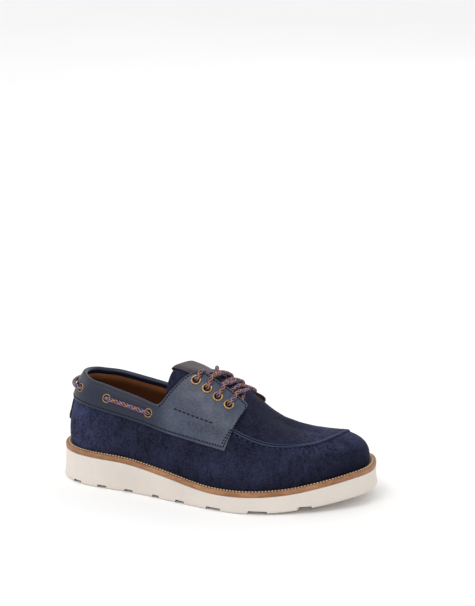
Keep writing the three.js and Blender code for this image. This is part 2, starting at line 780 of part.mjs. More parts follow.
// Out of a facing eyelet and up, towards the middle of the shoe.
function outOf(seat, sense) {
  return [
    above(seat, -SADDLE_WALL - 1),
    above(seat, 1.5),
    above(seat, 4.6).add(new THREE.Vector3(0, -sense * 1.5, 0.5)),
  ];
}

// A crossing's strand: out of an eyelet, over the facing's edge, and down into the gap beside
// the next eyelet up on the other side.
function strand(allSeats, side, k, height) {
  const from = facingSeat(allSeats, side, k);
  const to = facingSeat(allSeats, 1 - side, k - 1);
  const sense = SIDES[side].sign;
  const [a, b] = [from.seat.x, to.seat.x];
  const edge = inside(a * 0.85 + b * 0.15, sense * 13.5, -SADDLE_GAP - SADDLE_WALL - CORD_REST - 1.5);
  const share = k > 2 ? 0.82 : 0.5;
  const end = inside(a + (b - a) * share, -sense * 9, 1.5);
  const middle = edge.clone().add(end).multiplyScalar(0.5);
  middle.z += height;
  return toSolid(cord([...outOf(from, sense), edge, middle, end], 12));
}

const crossing = (allSeats, k) => fromSolid(strand(allSeats, 0, k, 1.4).add(strand(allSeats, 1, k, -1.6)));

// The bar between the lowest eyelets, on the tongue.
function laceBar(allSeats) {
  const x = facingSeat(allSeats, 0, 4).seat.x + 1;
  const reach = [-11, -5, 0, 5, 11];
  return cord(reach.map((y) => tonguePoint(x, y, -CORD_REST)), 10);
}

// The lace's end: out of the highest eyelet, over the facing's edge and tucked behind it.
function laceEnd(allSeats, side) {
  const seat = facingSeat(allSeats, side, 1);
  const sense = SIDES[side].sign;
  const over = inside(seat.seat.x, sense * 13.5, -SADDLE_GAP - SADDLE_WALL - CORD_REST - 1.2);
  const tucked = inside(seat.seat.x - 1.5, sense * 6, 2.5);
  return cord([...outOf(seat, sense), over, tucked], 9);
}

// A stretch of the collar lace between two eyelets, over the places in between.
function collarLace(from, to, between, steps) {
  const start = [above(from, -1), above(from, 1.8), above(from, 3.1)];
  const finish = [above(to, 3.1), above(to, 1.8), above(to, -1)];
  return cord([...start, ...between, ...finish], steps);
}

function sideLace(allSeats, side) {
  const from = collarSeat(allSeats, side, "middle");
  const to = collarSeat(allSeats, side, "front");
  const [a, b] = [COLLAR_EYELETS[1], COLLAR_EYELETS[0]];
  const between = [
    { share: 0.14, over: 1 },
    { share: 0.5, over: 0 },
    { share: 0.86, over: 1 },
  ].map(({ share, over }) => {
    const place = locate(SIDES[side].sign, { x: a.x + (b.x - a.x) * share, z: a.z + (b.z - a.z) * share });
    return offset(place.t, place.u, SADDLE_GAP + SADDLE_WALL + CORD_REST + over);
  });
  return collarLace(from, to, between, 16);
}

function heelLace(allSeats) {
  const eyelet = COLLAR_EYELETS[2];
  const from = collarSeat(allSeats, 1, "rear");
  const to = collarSeat(allSeats, 0, "rear");
  const place = locate(-1, eyelet);
  const between = [-0.78, -0.4, 0, 0.4, 0.78].map((share) => {
    const over = 1.4;
    return offset(place.t * share, place.u, SADDLE_GAP + SADDLE_WALL + CORD_REST + over);
  });
  return collarLace(from, to, between, 20);
}

// ---------------------------------------------------------------- assembly
const suede = { color: 0x2b2f4a, roughness: 0.95, metalness: 0 };
const leather = { color: 0x4a5468, roughness: 0.5, metalness: 0 };
const rubber = { color: 0xe0d8ce, roughness: 0.8, metalness: 0 };
const tan = { color: 0xa87a55, roughness: 0.6, metalness: 0 };
const grey = { color: 0x7d7780, roughness: 0.45, metalness: 0 };
const brass = { color: 0xa8895a, roughness: 0.35, metalness: 1 };
const braid = { color: 0x8d7a8c, roughness: 0.85, metalness: 0 };

const shoe = new THREE.Group();
function put(name, geometry, finish) {
  geometry.computeVertexNormals();
  const mesh = new THREE.Mesh(geometry, new THREE.MeshStandardMaterial(finish));
  mesh.name = name;
  shoe.add(mesh);
}

const allSeats = seats();
put("outsole", outsole(), rubber);
put("welt", welt(), tan);
put("insole", insole(), tan);
put("upper", upper(), suede);
put("saddle", saddle(allSeats), leather);
put("tongue", tongue(), suede);
put("tongue_label", tongueLabel(), grey);
for (const seat of allSeats) put(seat.name, eyelet(seat), brass);
for (const k of [4, 3, 2]) put(`lace_crossing_${5 - k}`, crossing(allSeats, k), braid);
put("lace_bar", laceBar(allSeats), braid);
put("lace_end_lateral", laceEnd(allSeats, 0), braid);
put("lace_end_medial", laceEnd(allSeats, 1), braid);
put("collar_lace_lateral", sideLace(allSeats, 0), braid);
put("collar_lace_medial", sideLace(allSeats, 1), braid);
put("collar_lace_heel", heelLace(allSeats), braid);

const box = new THREE.Box3().setFromObject(shoe);
const middle = box.getCenter(new THREE.Vector3());
shoe.position.set(-middle.x, -middle.y, -box.min.z);

export default shoe;
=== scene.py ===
# The looks of the boat shoe: fine suede, leather, laces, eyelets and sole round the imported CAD.
# The last's own sizes are in millimetres, x from the heel, y to the inner side, z up from the floor.
import math

import bmesh
import bpy
import numpy as np
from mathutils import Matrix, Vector


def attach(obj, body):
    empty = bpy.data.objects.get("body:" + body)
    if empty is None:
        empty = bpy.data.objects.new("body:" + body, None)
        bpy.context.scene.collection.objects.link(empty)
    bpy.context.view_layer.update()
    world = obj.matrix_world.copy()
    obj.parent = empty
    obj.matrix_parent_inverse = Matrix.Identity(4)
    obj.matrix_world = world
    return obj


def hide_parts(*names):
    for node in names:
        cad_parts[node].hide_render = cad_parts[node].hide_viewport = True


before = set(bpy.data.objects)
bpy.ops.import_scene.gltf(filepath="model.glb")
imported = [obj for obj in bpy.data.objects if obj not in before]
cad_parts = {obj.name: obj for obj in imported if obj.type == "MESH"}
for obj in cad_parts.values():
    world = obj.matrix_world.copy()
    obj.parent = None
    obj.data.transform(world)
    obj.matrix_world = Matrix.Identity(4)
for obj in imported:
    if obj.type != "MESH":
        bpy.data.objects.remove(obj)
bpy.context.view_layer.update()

# ---------------------------------------------------------------- sizes of the last, as in the CAD
SOLE_LENGTH = 302.0
TOE_SPRING = 12.3  # height of the underside at the tip of the toe
SPRING_START = 190.0  # the underside is flat from the heel to here
SPRING_POWER = 1.8
SIDE_FLARE = 1.2  # the sidewall leans out this much towards the ground
EDGE_ROUND = 2.0  # rounding of the outsole's lower edge
WELT_THICKNESS = 4.6
WELT_WIDTH = 12.0
GAP = 0.3  # clearance between touching pieces
WALL = 2.2  # suede with its lining
SADDLE_GAP = 0.45
SADDLE_WALL = 1.7
FACING_LIFT = 2.5  # the free front corner of a facing stands off the vamp
INSOLE_THICKNESS = 3.5
THROAT_X = 181.0  # the upper is open from here back to the heel
TONGUE_THICKNESS = 2.8
TONGUE_ARCH = 2.6  # how flat the tongue is in the middle
LABEL_HALF_WIDTH = 16.0
LABEL_THICKNESS = 1.0
LABEL_GAP = 0.6

# Sizes in which the looks differ from the CAD, or that only the looks have.
LUG_DEPTH = 3.0
LACE_RADIUS = 1.85
EYELET_HOLE = 3.0  # clear radius
FACING_FLANGE = 5.0
COLLAR_FLANGE = 4.4
TONGUE_START = 120.5  # x of the tongue's top
TONGUE_SKEW = 0.32  # its top edge runs forward towards the medial side
TONGUE_FLAT = 3.2  # the top's arch is flatter by this power
TONGUE_CORNER = 3.5  # the outer top corner reaches this much further towards the heel
TONGUE_DROP = 1.5  # the top is this much lower
LABEL_LENGTH = 25.0
LABEL_LOOP = 2.6  # how far the fold stands off the tongue's edge
MEDIAL_CREST = 3.5  # the inner facing is this much lower at its crest

# The outsole's edge: x, half width lateral and medial, height of the upper face, and reveal.
SECTIONS = np.array([
    (1.2, 0, 0, 27.9, 5.2),
    (10, 23.4, 24, 28, 5),
    (36, 38.3, 38.5, 28.1, 4.8),
    (76, 43.6, 38, 27, 4.8),
    (118, 52.5, 36, 21.7, 4.8),
    (160, 62.5, 38.5, 15.8, 4.8),
    (198, 65.2, 45.5, 15.6, 4.9),
    (234, 54.8, 53, 18.2, 5.2),
    (264, 38, 54, 23.4, 5.8),
    (289, 16.5, 43, 28.3, 6.4),
    (SOLE_LENGTH - 1.2, -9, 9, 30.3, 6.6),
])
# The upper's profiles: ridge x, y and crown, rise, then bulge and full on the two sides.
PROFILES = np.array([
    (50, 0, 128, 38, 6, 0.49, 6, 0.49),
    (52, 0, 127, 38, 5, 0.48, 5, 0.48),
    (60, 0.5, 124, 40, 2.8, 0.45, 2.8, 0.45),
    (80, 1, 123, 42, 2.5, 0.42, 4, 0.46),
    (118, 2, 126, 42, 3, 0.36, 7, 0.52),
    (160, 2, 112, 41, 3, 0.27, 7, 0.48),
    (196, 1.5, 82, 34, 3, 0.45, 5, 0.55),
    (222, 3.5, 66.5, 24, 3, 0.72, 3.5, 0.72),
    (238, 6, 61.8, 19, 3, 0.8, 3, 0.8),
    (246, 7.5, 60.8, 17, 2.8, 0.82, 2.8, 0.82),
    (249, 8, 60.6, 17, 2.6, 0.82, 2.6, 0.82),
])
TOE = len(SECTIONS) - 1
LOOP = 2 * TOE
NEAR_RIDGE = 0.97  # from this height on, the two sides share their outward direction
# Upper edge of the suede: x and z.
TOP_EDGE = np.array([
    (22, 100), (31, 97), (47, 95), (76, 89.2), (103, 83), (125, 80.5), (150, 78), (THROAT_X, 75),
])
# Edges of the saddle from the front of the facing to the heel: top x and z, low x and z.
SADDLE = [
    (183, 79, 176.5, 53.5),
    (185.5, 84, 173.5, 54),
    (183.5, 88, 170.5, 54.4),
    (173, 96.5, 163, 55.5),
    (158, 105.5, 153, 56.8),
    (145, 112.5, 143, 58.2),
    (136, 114, 135, 59.2),
    (127, 109.5, 127, 60.2),
    (116.5, 98, 117, 61.5),
    (108, 86.5, 107, 63.2),
    (102, 83.6, 100, 64.5),
    (90, 86.4, 89, 66.4),
    (76, 89.4, 75, 68.5),
    (60, 92.6, 56, 71.2),
    (47, 95.2, 40, 73.4),
    (34, 96.8, 25, 75.2),
    (26, 98.8, 14, 76),
]
MEDIAL_SHIFT = (4.0, -5.0)  # how far forward and up the inner facing lies from the outer one's place
SADDLE_BACK = (100.2, 76.4)
FACING_EYELETS = {"1": (137.5, 107), "2": (149, 101), "3": (160, 94.8), "4": (171, 88.5)}
COLLAR_EYELETS = {"front": (97, 76.5), "middle": (53, 84), "rear": (24, 88)}
# The tongue: x, reach lateral and medial, height in the middle and at the sides.
TONGUE = np.array([
    (112.5, 24, 18.5, 119.3, 96),
    (120, 25, 19.5, 118, 94.5),
    (130, 25, 20, 115, 93.5),
    (140, 25, 20.5, 111.3, 92.5),
    (150, 25, 21, 106.8, 90.5),
    (160, 25, 21.5, 102, 86.5),
    (170, 25, 22, 96.6, 82),
    (177, 23, 20, 92.4, 79.5),
    (187, 18, 17, 85, 76),
    (196, 16, 15, 77.2, 74),
])
# Grooves under the sole: x and width.
GROOVE_LEAN = 2.6  # a groove's mouth is this much wider
GROOVES = [(24, 8.5), (51, 9), (79, 8.5), (108, 7), (134, 9), (169, 14), (211, 17), (251, 11)]
# The apron seam round the toe: place round the shoe, and height between welt (0) and ridge (1).
SEAM = np.array([
    (4.6, 0.455), (5.54, 0.473), (5.94, 0.492), (6.4, 0.533), (6.94, 0.598), (7.37, 0.645),
    (7.9, 0.694), (8.57, 0.76), (9.41, 0.82), (10.3, 0.807), (10.84, 0.729), (11.3, 0.605),
    (11.7, 0.585), (12.2, 0.585), (12.8, 0.57), (13.4, 0.545), (14, 0.51), (14.46, 0.48), (15.4, 0.455),
])

# The box's middle is the frame's origin.
ORIGIN = np.array([SOLE_LENGTH / 2, -5.6185, 0.0])
MM = 0.001


# ---------------------------------------------------------------- the last's surface
def closed_curve(values):
    """A closed smooth curve through the values at 0, 1, 2 and so on."""
    values = np.asarray(values, float)
    count = len(values)
    own = np.eye(count)
    control = np.linalg.solve((4 * own + np.roll(own, 1, 1) + np.roll(own, -1, 1)) / 6, values)

    def at(t):
        t = np.asarray(t, float)
        start = np.floor(t).astype(int)
        f = t - start
        shares = ((1 - f) ** 3, 3 * f ** 3 - 6 * f ** 2 + 4, -3 * f ** 3 + 3 * f ** 2 + 3 * f + 1, f ** 3)
        return sum(share * control[(start + k - 1) % count] for k, share in enumerate(shares)) / 6

    return at


def open_curve(xs, values):
    """A smooth curve through the values at rising xs."""
    xs, values = np.asarray(xs, float), np.asarray(values, float)
    last = len(xs) - 1
    low = np.maximum(np.arange(last + 1) - 1, 0)
    high = np.minimum(np.arange(last + 1) + 1, last)
    slope = (values[high] - values[low]) / (xs[high] - xs[low])

    def at(x):
        x = np.asarray(x, float)
        k = np.clip(np.searchsorted(xs, x) - 1, 0, last - 1)
        width = xs[k + 1] - xs[k]
        f = np.clip((x - xs[k]) / width, 0, 1)
        ends = values[k] * (2 * f ** 3 - 3 * f ** 2 + 1) + values[k + 1] * (3 * f ** 2 - 2 * f ** 3)
        return ends + width * (slope[k] * (f ** 3 - 2 * f ** 2 + f) + slope[k + 1] * (f ** 3 - f ** 2))

    return at


def smooth(a, b, x):
    """Rises softly from 0 at a to 1 at b."""
    f = np.clip((np.asarray(x, float) - a) / (b - a), 0, 1)
    return f * f * (3 - 2 * f)


def bump(x, width):
    """A soft hill of height 1, about width wide to each side."""
    return np.exp(-(np.asarray(x, float) / width) ** 2)


def unit(v):
    """Each vector at length 1."""
    return v / np.linalg.norm(v, axis=-1, keepdims=True)


def column(table, outer, inner=None):
    """A closed curve round the shoe: one column on the way out, and one (or the same) back."""
    inner = outer if inner is None else inner
    return closed_curve(np.r_[table[:, outer], table[1:-1, inner][::-1]])


signed = SECTIONS * np.array([1, -1, 1, 1, 1])
edge_x = column(SECTIONS, 0)
edge_y = column(signed, 1, 2)
reveal = column(SECTIONS, 4)
ridge_x = column(PROFILES, 0)
ridge_y = column(PROFILES, 1)
crown = column(PROFILES, 2)
rise = column(PROFILES, 3)
bulge = column(PROFILES, 4, 6)
full = column(PROFILES, 5, 7)
sole_top = open_curve(SECTIONS[:, 0], SECTIONS[:, 3])
top_edge_height = open_curve(TOP_EDGE[:, 0], TOP_EDGE[:, 1])


def welt_top(x):
    return sole_top(x) + WELT_THICKNESS


def sole_bottom(x):
    run = np.maximum(x - SPRING_START, 0) / (SOLE_LENGTH - SPRING_START)
    return TOE_SPRING * run ** SPRING_POWER


def outline(t, inset):
    """The outsole's outline at place t, moved inwards."""
    step = 0.01
    dx = edge_x(t + step) - edge_x(t - step)
    dy = edge_y(t + step) - edge_y(t - step)
    length = np.hypot(dx, dy)
    return edge_x(t) - dy / length * inset, edge_y(t) + dx / length * inset


def surface(t, u):
    """The upper's outer surface: t goes round the shoe, u from the welt (0) to the ridge (1)."""
    t, u = np.broadcast_arrays(np.asarray(t, float), np.asarray(u, float))
    foot_x, foot_y = outline(t, reveal(t))
    foot_z = welt_top(foot_x) + GAP
    top_x, top_y, top_z = ridge_x(t), ridge_y(t), crown(t)
    depth = np.hypot(top_x - foot_x, top_y - foot_y)
    v = 1 - u
    reach = -3 * v * v * u * bulge(t) + 3 * v * u * u * depth * (1 - full(t)) + u ** 3 * depth
    z = v ** 3 * foot_z + 3 * v * v * u * (foot_z + rise(t)) + (3 * v * u * u + u ** 3) * top_z
    x = foot_x + (top_x - foot_x) * reach / depth
    y = foot_y + (top_y - foot_y) * reach / depth
    return np.stack([x, y, z], -1)


def outward(t, u):
    """The outward direction there, shared by the two sides on the ridge."""
    t, u = np.broadcast_arrays(np.asarray(t, float), np.asarray(u, float))
    step = 0.004
    low = np.minimum(u, NEAR_RIDGE)

    def one(place):
        along = surface(place + step, low) - surface(place - step, low)
        up = surface(place, low + step) - surface(place, low - step)
        return unit(np.cross(along, up))

    share = smooth(NEAR_RIDGE, 1.0, u)[..., None] * 0.5
    return unit(one(t) * (1 - share) + one(-t) * share)


def offset(t, u, distance):
    return surface(t, u) + outward(t, u) * np.asarray(distance, float)[..., None]


def locate(side, x, value, axis=2):
    """The place (t, u) where the surface has that x and that y (axis 1) or z (axis 2)."""
    t, u = 1 + 8 * min(max(x, 9), 264) / 270, 0.5  # near enough to start from
    step = 0.001
    for _ in range(40):
        here = surface(-side * t, u)
        by_t = (surface(-side * (t + step), u) - here) / step
        by_u = (surface(-side * t, u + step) - here) / step
        slopes = np.array([[by_t[0], by_u[0]], [by_t[axis], by_u[axis]]])
        dt, du = np.linalg.solve(slopes, [here[0] - x, here[axis] - value])
        t -= min(max(dt, -0.4), 0.4)
        u = min(max(u - min(max(du, -0.1), 0.1), 0.02), 0.999)
    return -side * t, u


# ---------------------------------------------------------------- making meshes
WELD = 0.002  # points nearer than this are one
THINNEST = 0.12  # share of a sheet's thickness that is left at its rim


def new_object(name, points, faces):
    """An object in the scene, from points in the frame's metres."""
    mesh = bpy.data.meshes.new(name)
    mesh.from_pydata(points, [], faces)
    made = bpy.data.objects.new(name, mesh)
    bpy.context.scene.collection.objects.link(made)
    return made


def in_metres(points):
    """The last's millimetres as metres in the frame."""
    return ((np.asarray(points) - ORIGIN) * MM).tolist()


def mesh_piece(name, points, faces, material, slot, replaces=(), values=None, uv=None):
    """A piece from points in the last's millimetres. values are named numbers for each point."""
    piece = new_object(name, in_metres(points), [tuple(int(k) for k in face) for face in faces])
    mesh = piece.data
    for key, numbers in (values or {}).items():
        attribute = mesh.attributes.new(key, "FLOAT", "POINT")
        attribute.data.foreach_set("value", np.asarray(numbers, np.float32))
    if uv is not None:
        layer = mesh.uv_layers.new(name="weave")
        layer.data.foreach_set("uv", np.asarray(uv, np.float32).ravel())
    mesh.polygons.foreach_set("use_smooth", [True] * len(mesh.polygons))
    mesh.materials.append(material)
    mesh.update()
    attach(piece, "root")
    if replaces:
        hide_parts(*replaces)
    return piece


def clean(piece):
    """Joins points that lie on each other, and removes those that no face uses."""
    work = bmesh.new()
    work.from_mesh(piece.data)
    bmesh.ops.remove_doubles(work, verts=work.verts, dist=WELD * MM)
    loose = [vert for vert in work.verts if not vert.link_faces]
    bmesh.ops.delete(work, geom=loose, context="VERTS")
    work.to_mesh(piece.data)
    work.free()


def shell_faces(keep, wrap=False, open_top=None):
    """Faces of a sheet with thickness between an outer grid and an inner one, both with
    keep's cells. A cell that isn't kept is a hole. In a wrapped grid the first column follows
    the last. open_top marks the columns of cells with no wall along their top."""
    cells_i, cells_j = keep.shape
    columns = cells_i if wrap else cells_i + 1
    rows = cells_j + 1

    def quads(mask, *corners):
        """A face at each marked cell. A corner is its steps in i and j, and its layer."""
        i, j = np.nonzero(mask)
        return np.stack([((i + di) % columns + layer * columns) * rows + j + dj
                         for di, dj, layer in corners], -1)

    none, no_row = np.zeros((cells_i, 1), bool), np.zeros((1, cells_j), bool)
    before = np.roll(keep, 1, 0) if wrap else np.vstack([no_row, keep])
    after = keep if wrap else np.vstack([keep, no_row])
    under = np.hstack([none, keep])
    over = np.hstack([keep, none if open_top is None else open_top[:, None]])
    return np.concatenate([
        quads(keep, (0, 0, 0), (1, 0, 0), (1, 1, 0), (0, 1, 0)),
        quads(keep, (0, 0, 1), (0, 1, 1), (1, 1, 1), (1, 0, 1)),
        quads(before & ~after, (0, 1, 0), (0, 0, 0), (0, 0, 1), (0, 1, 1)),
        quads(~before & after, (0, 0, 0), (0, 1, 0), (0, 1, 1), (0, 0, 1)),
        quads(~under & over & (np.arange(rows) < cells_j), (0, 0, 1), (1, 0, 1), (1, 0, 0), (0, 0, 0)),
        quads(under & ~over, (0, 0, 0), (1, 0, 0), (1, 0, 1), (0, 0, 1)),
    ])


def two_grids(outer, inner):
    return np.concatenate([outer.reshape(-1, 3), inner.reshape(-1, 3)])


def run_lengths(grid, axis):
    """Length along the grid's rows or columns from its first line."""
    steps = np.linalg.norm(np.diff(grid, axis=axis), axis=-1)
    zero = np.zeros_like(np.take(steps, [0], axis=axis))
    return np.concatenate([zero, np.cumsum(steps, axis=axis)], axis=axis)


def edge_distance(grid):
    """Distance of each point of a grid from the nearest edge, measured along the grid."""
    along, across = run_lengths(grid, 0), run_lengths(grid, 1)
    sides = [along, along[-1:] - along, across, across[:, -1:] - across]
    return np.minimum.reduce(sides)


def pillow(outer, inner, rim):
    """Rounds the rim of a sheet: both faces draw together at the edges."""
    near = 1 - np.clip(edge_distance(outer) / rim, 0, 1)
    share = np.maximum(np.sqrt(1 - near ** 2), THINNEST)[..., None]
    middle = (outer + inner) / 2
    return middle + (outer - middle) * share, middle + (inner - middle) * share


def spread(count, rim=0.02):
    """Places from 0 to 1, closer together near both ends."""
    ends = rim * np.array([0, 0.08, 0.25, 0.55])
    return np.concatenate([ends, np.linspace(rim, 1 - rim, count), 1 - ends[::-1]])


def sheet_piece(name, outer, inner, material, slot, keep=None, rim=0.8, **options):
    """A closed sheet between two grids of the same size."""
    outer, inner = pillow(outer, inner, rim)
    if keep is None:
        keep = np.ones((outer.shape[0] - 1, outer.shape[1] - 1), bool)
    return mesh_piece(name, two_grids(outer, inner), shell_faces(keep), material, slot, **options)


def ring_faces(rings, count, closed):
    """Faces of a stack of rings, from the lowest outwards and up; closed joins last and first."""
    low = np.arange(rings if closed else rings - 1)[:, None] * count
    high = (low + count) % (rings * count)
    i = np.arange(count)
    following = (i + 1) % count
    return np.stack([low + i, low + following, high + following, high + i], -1).reshape(-1, 4)


def rod_faces(rings, count):
    """Faces of a rod: the rings along it, and one face across each end."""
    start = tuple(reversed(range(count)))
    end = tuple((rings - 1) * count + k for k in range(count))
    return [tuple(face) for face in ring_faces(rings, count, False).tolist()] + [start, end]


def lid_faces(start, count, facing_up):
    """Fills a ring that starts at the heel, with strips across the shoe."""
    half = count // 2
    faces = [(0, 1, count - 1), (half - 1, half, half + 1)]
    faces += [(i, i + 1, count - i - 1, count - i) for i in range(1, half - 1)]
    return [tuple(start + k for k in (face if facing_up else face[::-1])) for face in faces]


def stacked(name, rings, material, slot, replaces):
    """A solid from a stack of rings round the shoe, closed by a lid at each end."""
    count = len(rings[0])
    faces = list(ring_faces(len(rings), count, False))
    faces += lid_faces(0, count, False) + lid_faces((len(rings) - 1) * count, count, True)
    return mesh_piece(name, np.concatenate(rings), faces, material, slot, replaces)


def catmull(points, count):
    """Points of a smooth open curve through the given ones, evenly spread over their number."""
    points = np.asarray(points, float)
    first, last = 2 * points[0] - points[1], 2 * points[-1] - points[-2]
    full_row = np.vstack([first, points, last])
    place = np.linspace(0, len(points) - 1, count)
    k = np.minimum(place.astype(int), len(points) - 2)
    f = (place - k)[:, None]
    p0, p1, p2, p3 = full_row[k], full_row[k + 1], full_row[k + 2], full_row[k + 3]
    t0, t1 = (p2 - p0) / 2, (p3 - p1) / 2
    return p1 + t0 * f + (3 * (p2 - p1) - 2 * t0 - t1) * f ** 2 + (2 * (p1 - p2) + t0 + t1) * f ** 3


def lengths_along(line):
    """Length from a polyline's start to each of its points."""
    return np.r_[0, np.cumsum(np.linalg.norm(np.diff(line, axis=0), axis=1))]


def sample(places, lengths, rows):
    """Rows of three numbers, taken at places along the lengths."""
    return np.stack([np.interp(places, lengths, rows[:, k]) for k in range(3)], -1)


def even(points, step):
    """The same polyline with points at an even distance."""
    lengths = lengths_along(points)
    places = np.linspace(0, lengths[-1], max(int(lengths[-1] / step), 2) + 1)
    return sample(places, lengths, points)


def frames(points, start_normal):
    """Two normals along a polyline, turning as little as possible."""
    tangents = unit(np.gradient(points, axis=0))
    normal = np.asarray(start_normal, float)
    normals = []
    for tangent in tangents:
        normal = unit(normal - tangent * (normal @ tangent))
        normals.append(normal)
    return np.array(normals), np.cross(tangents, normals)


# ---------------------------------------------------------------- materials
def colour(red, green, blue):
    """A colour as it looks on a screen, from 0 to 255, as the shader wants it."""
    values = []
    for level in (red, green, blue):
        share = level / 255
        values.append(share / 12.92 if share <= 0.04045 else ((share + 0.055) / 1.055) ** 2.4)
    return (*values, 1.0)


class Finish:
    """A material and short ways of adding nodes to it."""

    def __init__(self, name, **shader):
        self.material = bpy.data.materials.new(name)
        self.material.use_nodes = True
        self.tree = self.material.node_tree
        self.tree.nodes.clear()
        output = self.tree.nodes.new("ShaderNodeOutputMaterial")
        self.shader = self.tree.nodes.new("ShaderNodeBsdfPrincipled")
        self.tree.links.new(self.shader.outputs[0], output.inputs[0])
        self.place = self.tree.nodes.new("ShaderNodeTexCoord").outputs["Object"]
        for socket, value in shader.items():
            self.shader.inputs[socket.replace("_", " ")].default_value = value

    def put(self, socket, value):
        if isinstance(value, bpy.types.NodeSocket):
            self.tree.links.new(value, socket)
        else:
            socket.default_value = value

    def node(self, kind, inputs=(), output=0, **settings):
        made = self.tree.nodes.new(kind)
        for key, value in settings.items():
            setattr(made, key, value)
        for key, value in dict(inputs).items():
            self.put(made.inputs[key], value)
        return made.outputs[output]

    def math(self, operation, a, b=0.0, c=0.0):
        return self.node("ShaderNodeMath", {0: a, 1: b, 2: c}, operation=operation)

    def noise(self, scale, detail=3.0, roughness=0.55, place=None, distortion=0.0):
        inputs = {"Scale": scale, "Detail": detail, "Roughness": roughness, "Distortion": distortion}
        inputs["Vector"] = self.place if place is None else place
        return self.node("ShaderNodeTexNoise", inputs)

    def stretched(self, x, y, z):
        return self.node("ShaderNodeMapping", {"Vector": self.place, "Scale": (x, y, z)})

    def ramp(self, value, low, high):
        """value between low and high, as 0 to 1."""
        inputs = {"Value": value, "From Min": low, "From Max": high}
        return self.node("ShaderNodeMapRange", inputs)

    def cloud(self, low, high, *noise, **more):
        """Noise between low and high, as 0 to 1."""
        return self.ramp(self.noise(*noise, **more), low, high)

    def mix(self, share, a, b, most=None):
        """Colour a with a share of b, which is most at the highest."""
        if most is not None:
            share = self.math("MULTIPLY", share, most)
        return self.node("ShaderNodeMix", {0: share, 6: a, 7: b}, output=2, data_type="RGBA")

    def attribute(self, name):
        return self.node("ShaderNodeAttribute", output=2, attribute_name=name)

    def bumps(self, *layers):
        """Fine relief: pairs of a height and its depth in metres."""
        normal = None
        for height, depth in layers:
            inputs = {"Height": height, "Distance": depth, "Strength": 1.0}
            if normal is not None:
                inputs["Normal"] = normal
            normal = self.node("ShaderNodeBump", inputs)
        self.put(self.shader.inputs["Normal"], normal)

    def pores(self, scale):
        return self.node("ShaderNodeTexVoronoi", {"Vector": self.place, "Scale": scale})

    def base(self, value):
        self.put(self.shader.inputs["Base Color"], value)

    def rough(self, least, value=None, part=0.0):
        """The roughness: least, and more by a part of the value."""
        if value is not None:
            least = self.math("MULTIPLY_ADD", value, part, least)
        self.put(self.shader.inputs["Roughness"], least)


def suede_finish():
    finish = Finish("suede", Sheen_Weight=0.05, Sheen_Roughness=0.5, Sheen_Tint=colour(110, 120, 170),
                    Specular_IOR_Level=0.06, IOR=1.45)
    clouds = finish.cloud(0.38, 0.64, 24, 5, 0.6)
    patches = finish.cloud(0.34, 0.66, 75, 4, 0.65, finish.stretched(1.2, 1.2, 0.7))
    streaks = finish.cloud(0.38, 0.62, 270, 3, 0.65, finish.stretched(1.6, 1.6, 0.45))
    grain = finish.cloud(0.38, 0.62, 560, 3, 0.7)
    tone = finish.math("MULTIPLY", clouds, 0.26)
    for layer, share in ((patches, 0.24), (streaks, 0.14), (grain, 0.36)):
        tone = finish.math("MULTIPLY_ADD", layer, share, tone)
    # Painted light: the nap's light tone is lighter at the heel and on the upward faces behind the toe.
    painted_lit_tone = finish.mix(finish.attribute("painted_light"), colour(48, 50, 74), colour(69, 74, 109))
    nap = finish.mix(finish.ramp(tone, 0.15, 0.9), colour(16, 17, 29), painted_lit_tone)
    nap = finish.mix(finish.attribute("shade"), nap, colour(4, 5, 12), 0.9)
    # Wear with painted highlight: lighter along the seam's lips and on the gathers below.
    finish.base(finish.mix(finish.attribute("worn_and_lit"), nap, colour(76, 85, 112), 0.75))
    finish.rough(finish.ramp(clouds, -3.0, 1.6))
    finish.bumps((finish.noise(1500, 3, 0.7), 0.00016), (finish.noise(420, 3, 0.6), 0.00014))
    return finish.material


def leather_finish():
    finish = Finish("saddle_leather", IOR=1.5, Specular_IOR_Level=0.42)
    clouds = finish.cloud(0.36, 0.66, 24, 4, 0.55, distortion=0.4)
    marks = finish.cloud(0.45, 0.72, 70, 5, 0.6)
    skin = finish.mix(clouds, colour(22, 33, 56), colour(66, 74, 91))
    skin = finish.mix(marks, skin, colour(26, 40, 64), 0.5)
    skin = finish.mix(finish.cloud(0.42, 0.62, 480, 3, 0.7), skin, colour(84, 91, 107), 0.36)
    # The collar is darker than the facings: partly its own tone, partly painted shade.
    skin = finish.mix(finish.attribute("collar"), skin, colour(10, 21, 44), 0.92)
    finish.base(finish.mix(finish.attribute("edge"), skin, colour(16, 28, 50)))
    finish.rough(0.36, marks, 0.14)
    finish.bumps((finish.pores(900.0), 0.00005), (finish.noise(260, 4, 0.6), 0.00012))
    return finish.material


def plain_leather(name, dark, light, roughness, scale=30, deep_shade=None):
    """A smooth leather with soft changes of tone. It can darken to a painted shade far down inside the shoe.
    """
    finish = Finish(name, IOR=1.46)
    clouds = finish.cloud(0.34, 0.68, scale, 4, 0.6)
    tone = finish.mix(clouds, dark, light)
    # Painted shade, darker far down inside the shoe.
    if deep_shade:
        tone = finish.mix(finish.attribute("deep_shade"), tone, deep_shade)
    finish.base(tone)
    finish.rough(roughness, clouds, 0.12)
    finish.bumps((finish.pores(1000.0), 0.00008), (finish.noise(300, 3, 0.6), 0.00008))
    return finish.material


def sole_finish():
    finish = Finish("sole_rubber", IOR=1.45, Specular_IOR_Level=0.35)
    clouds = finish.cloud(0.35, 0.7, 18, 3, 0.5)
    tone = finish.mix(clouds, colour(212, 203, 194), colour(221, 212, 203))
    finish.base(finish.mix(finish.cloud(0.55, 0.75, 900, 2, 0.5), tone, colour(190, 180, 169), 0.25))
    finish.rough(0.62, clouds, 0.1)
    finish.bumps((finish.noise(700, 3, 0.6), 0.00008), (finish.noise(60, 3, 0.5), 0.0002))
    return finish.material


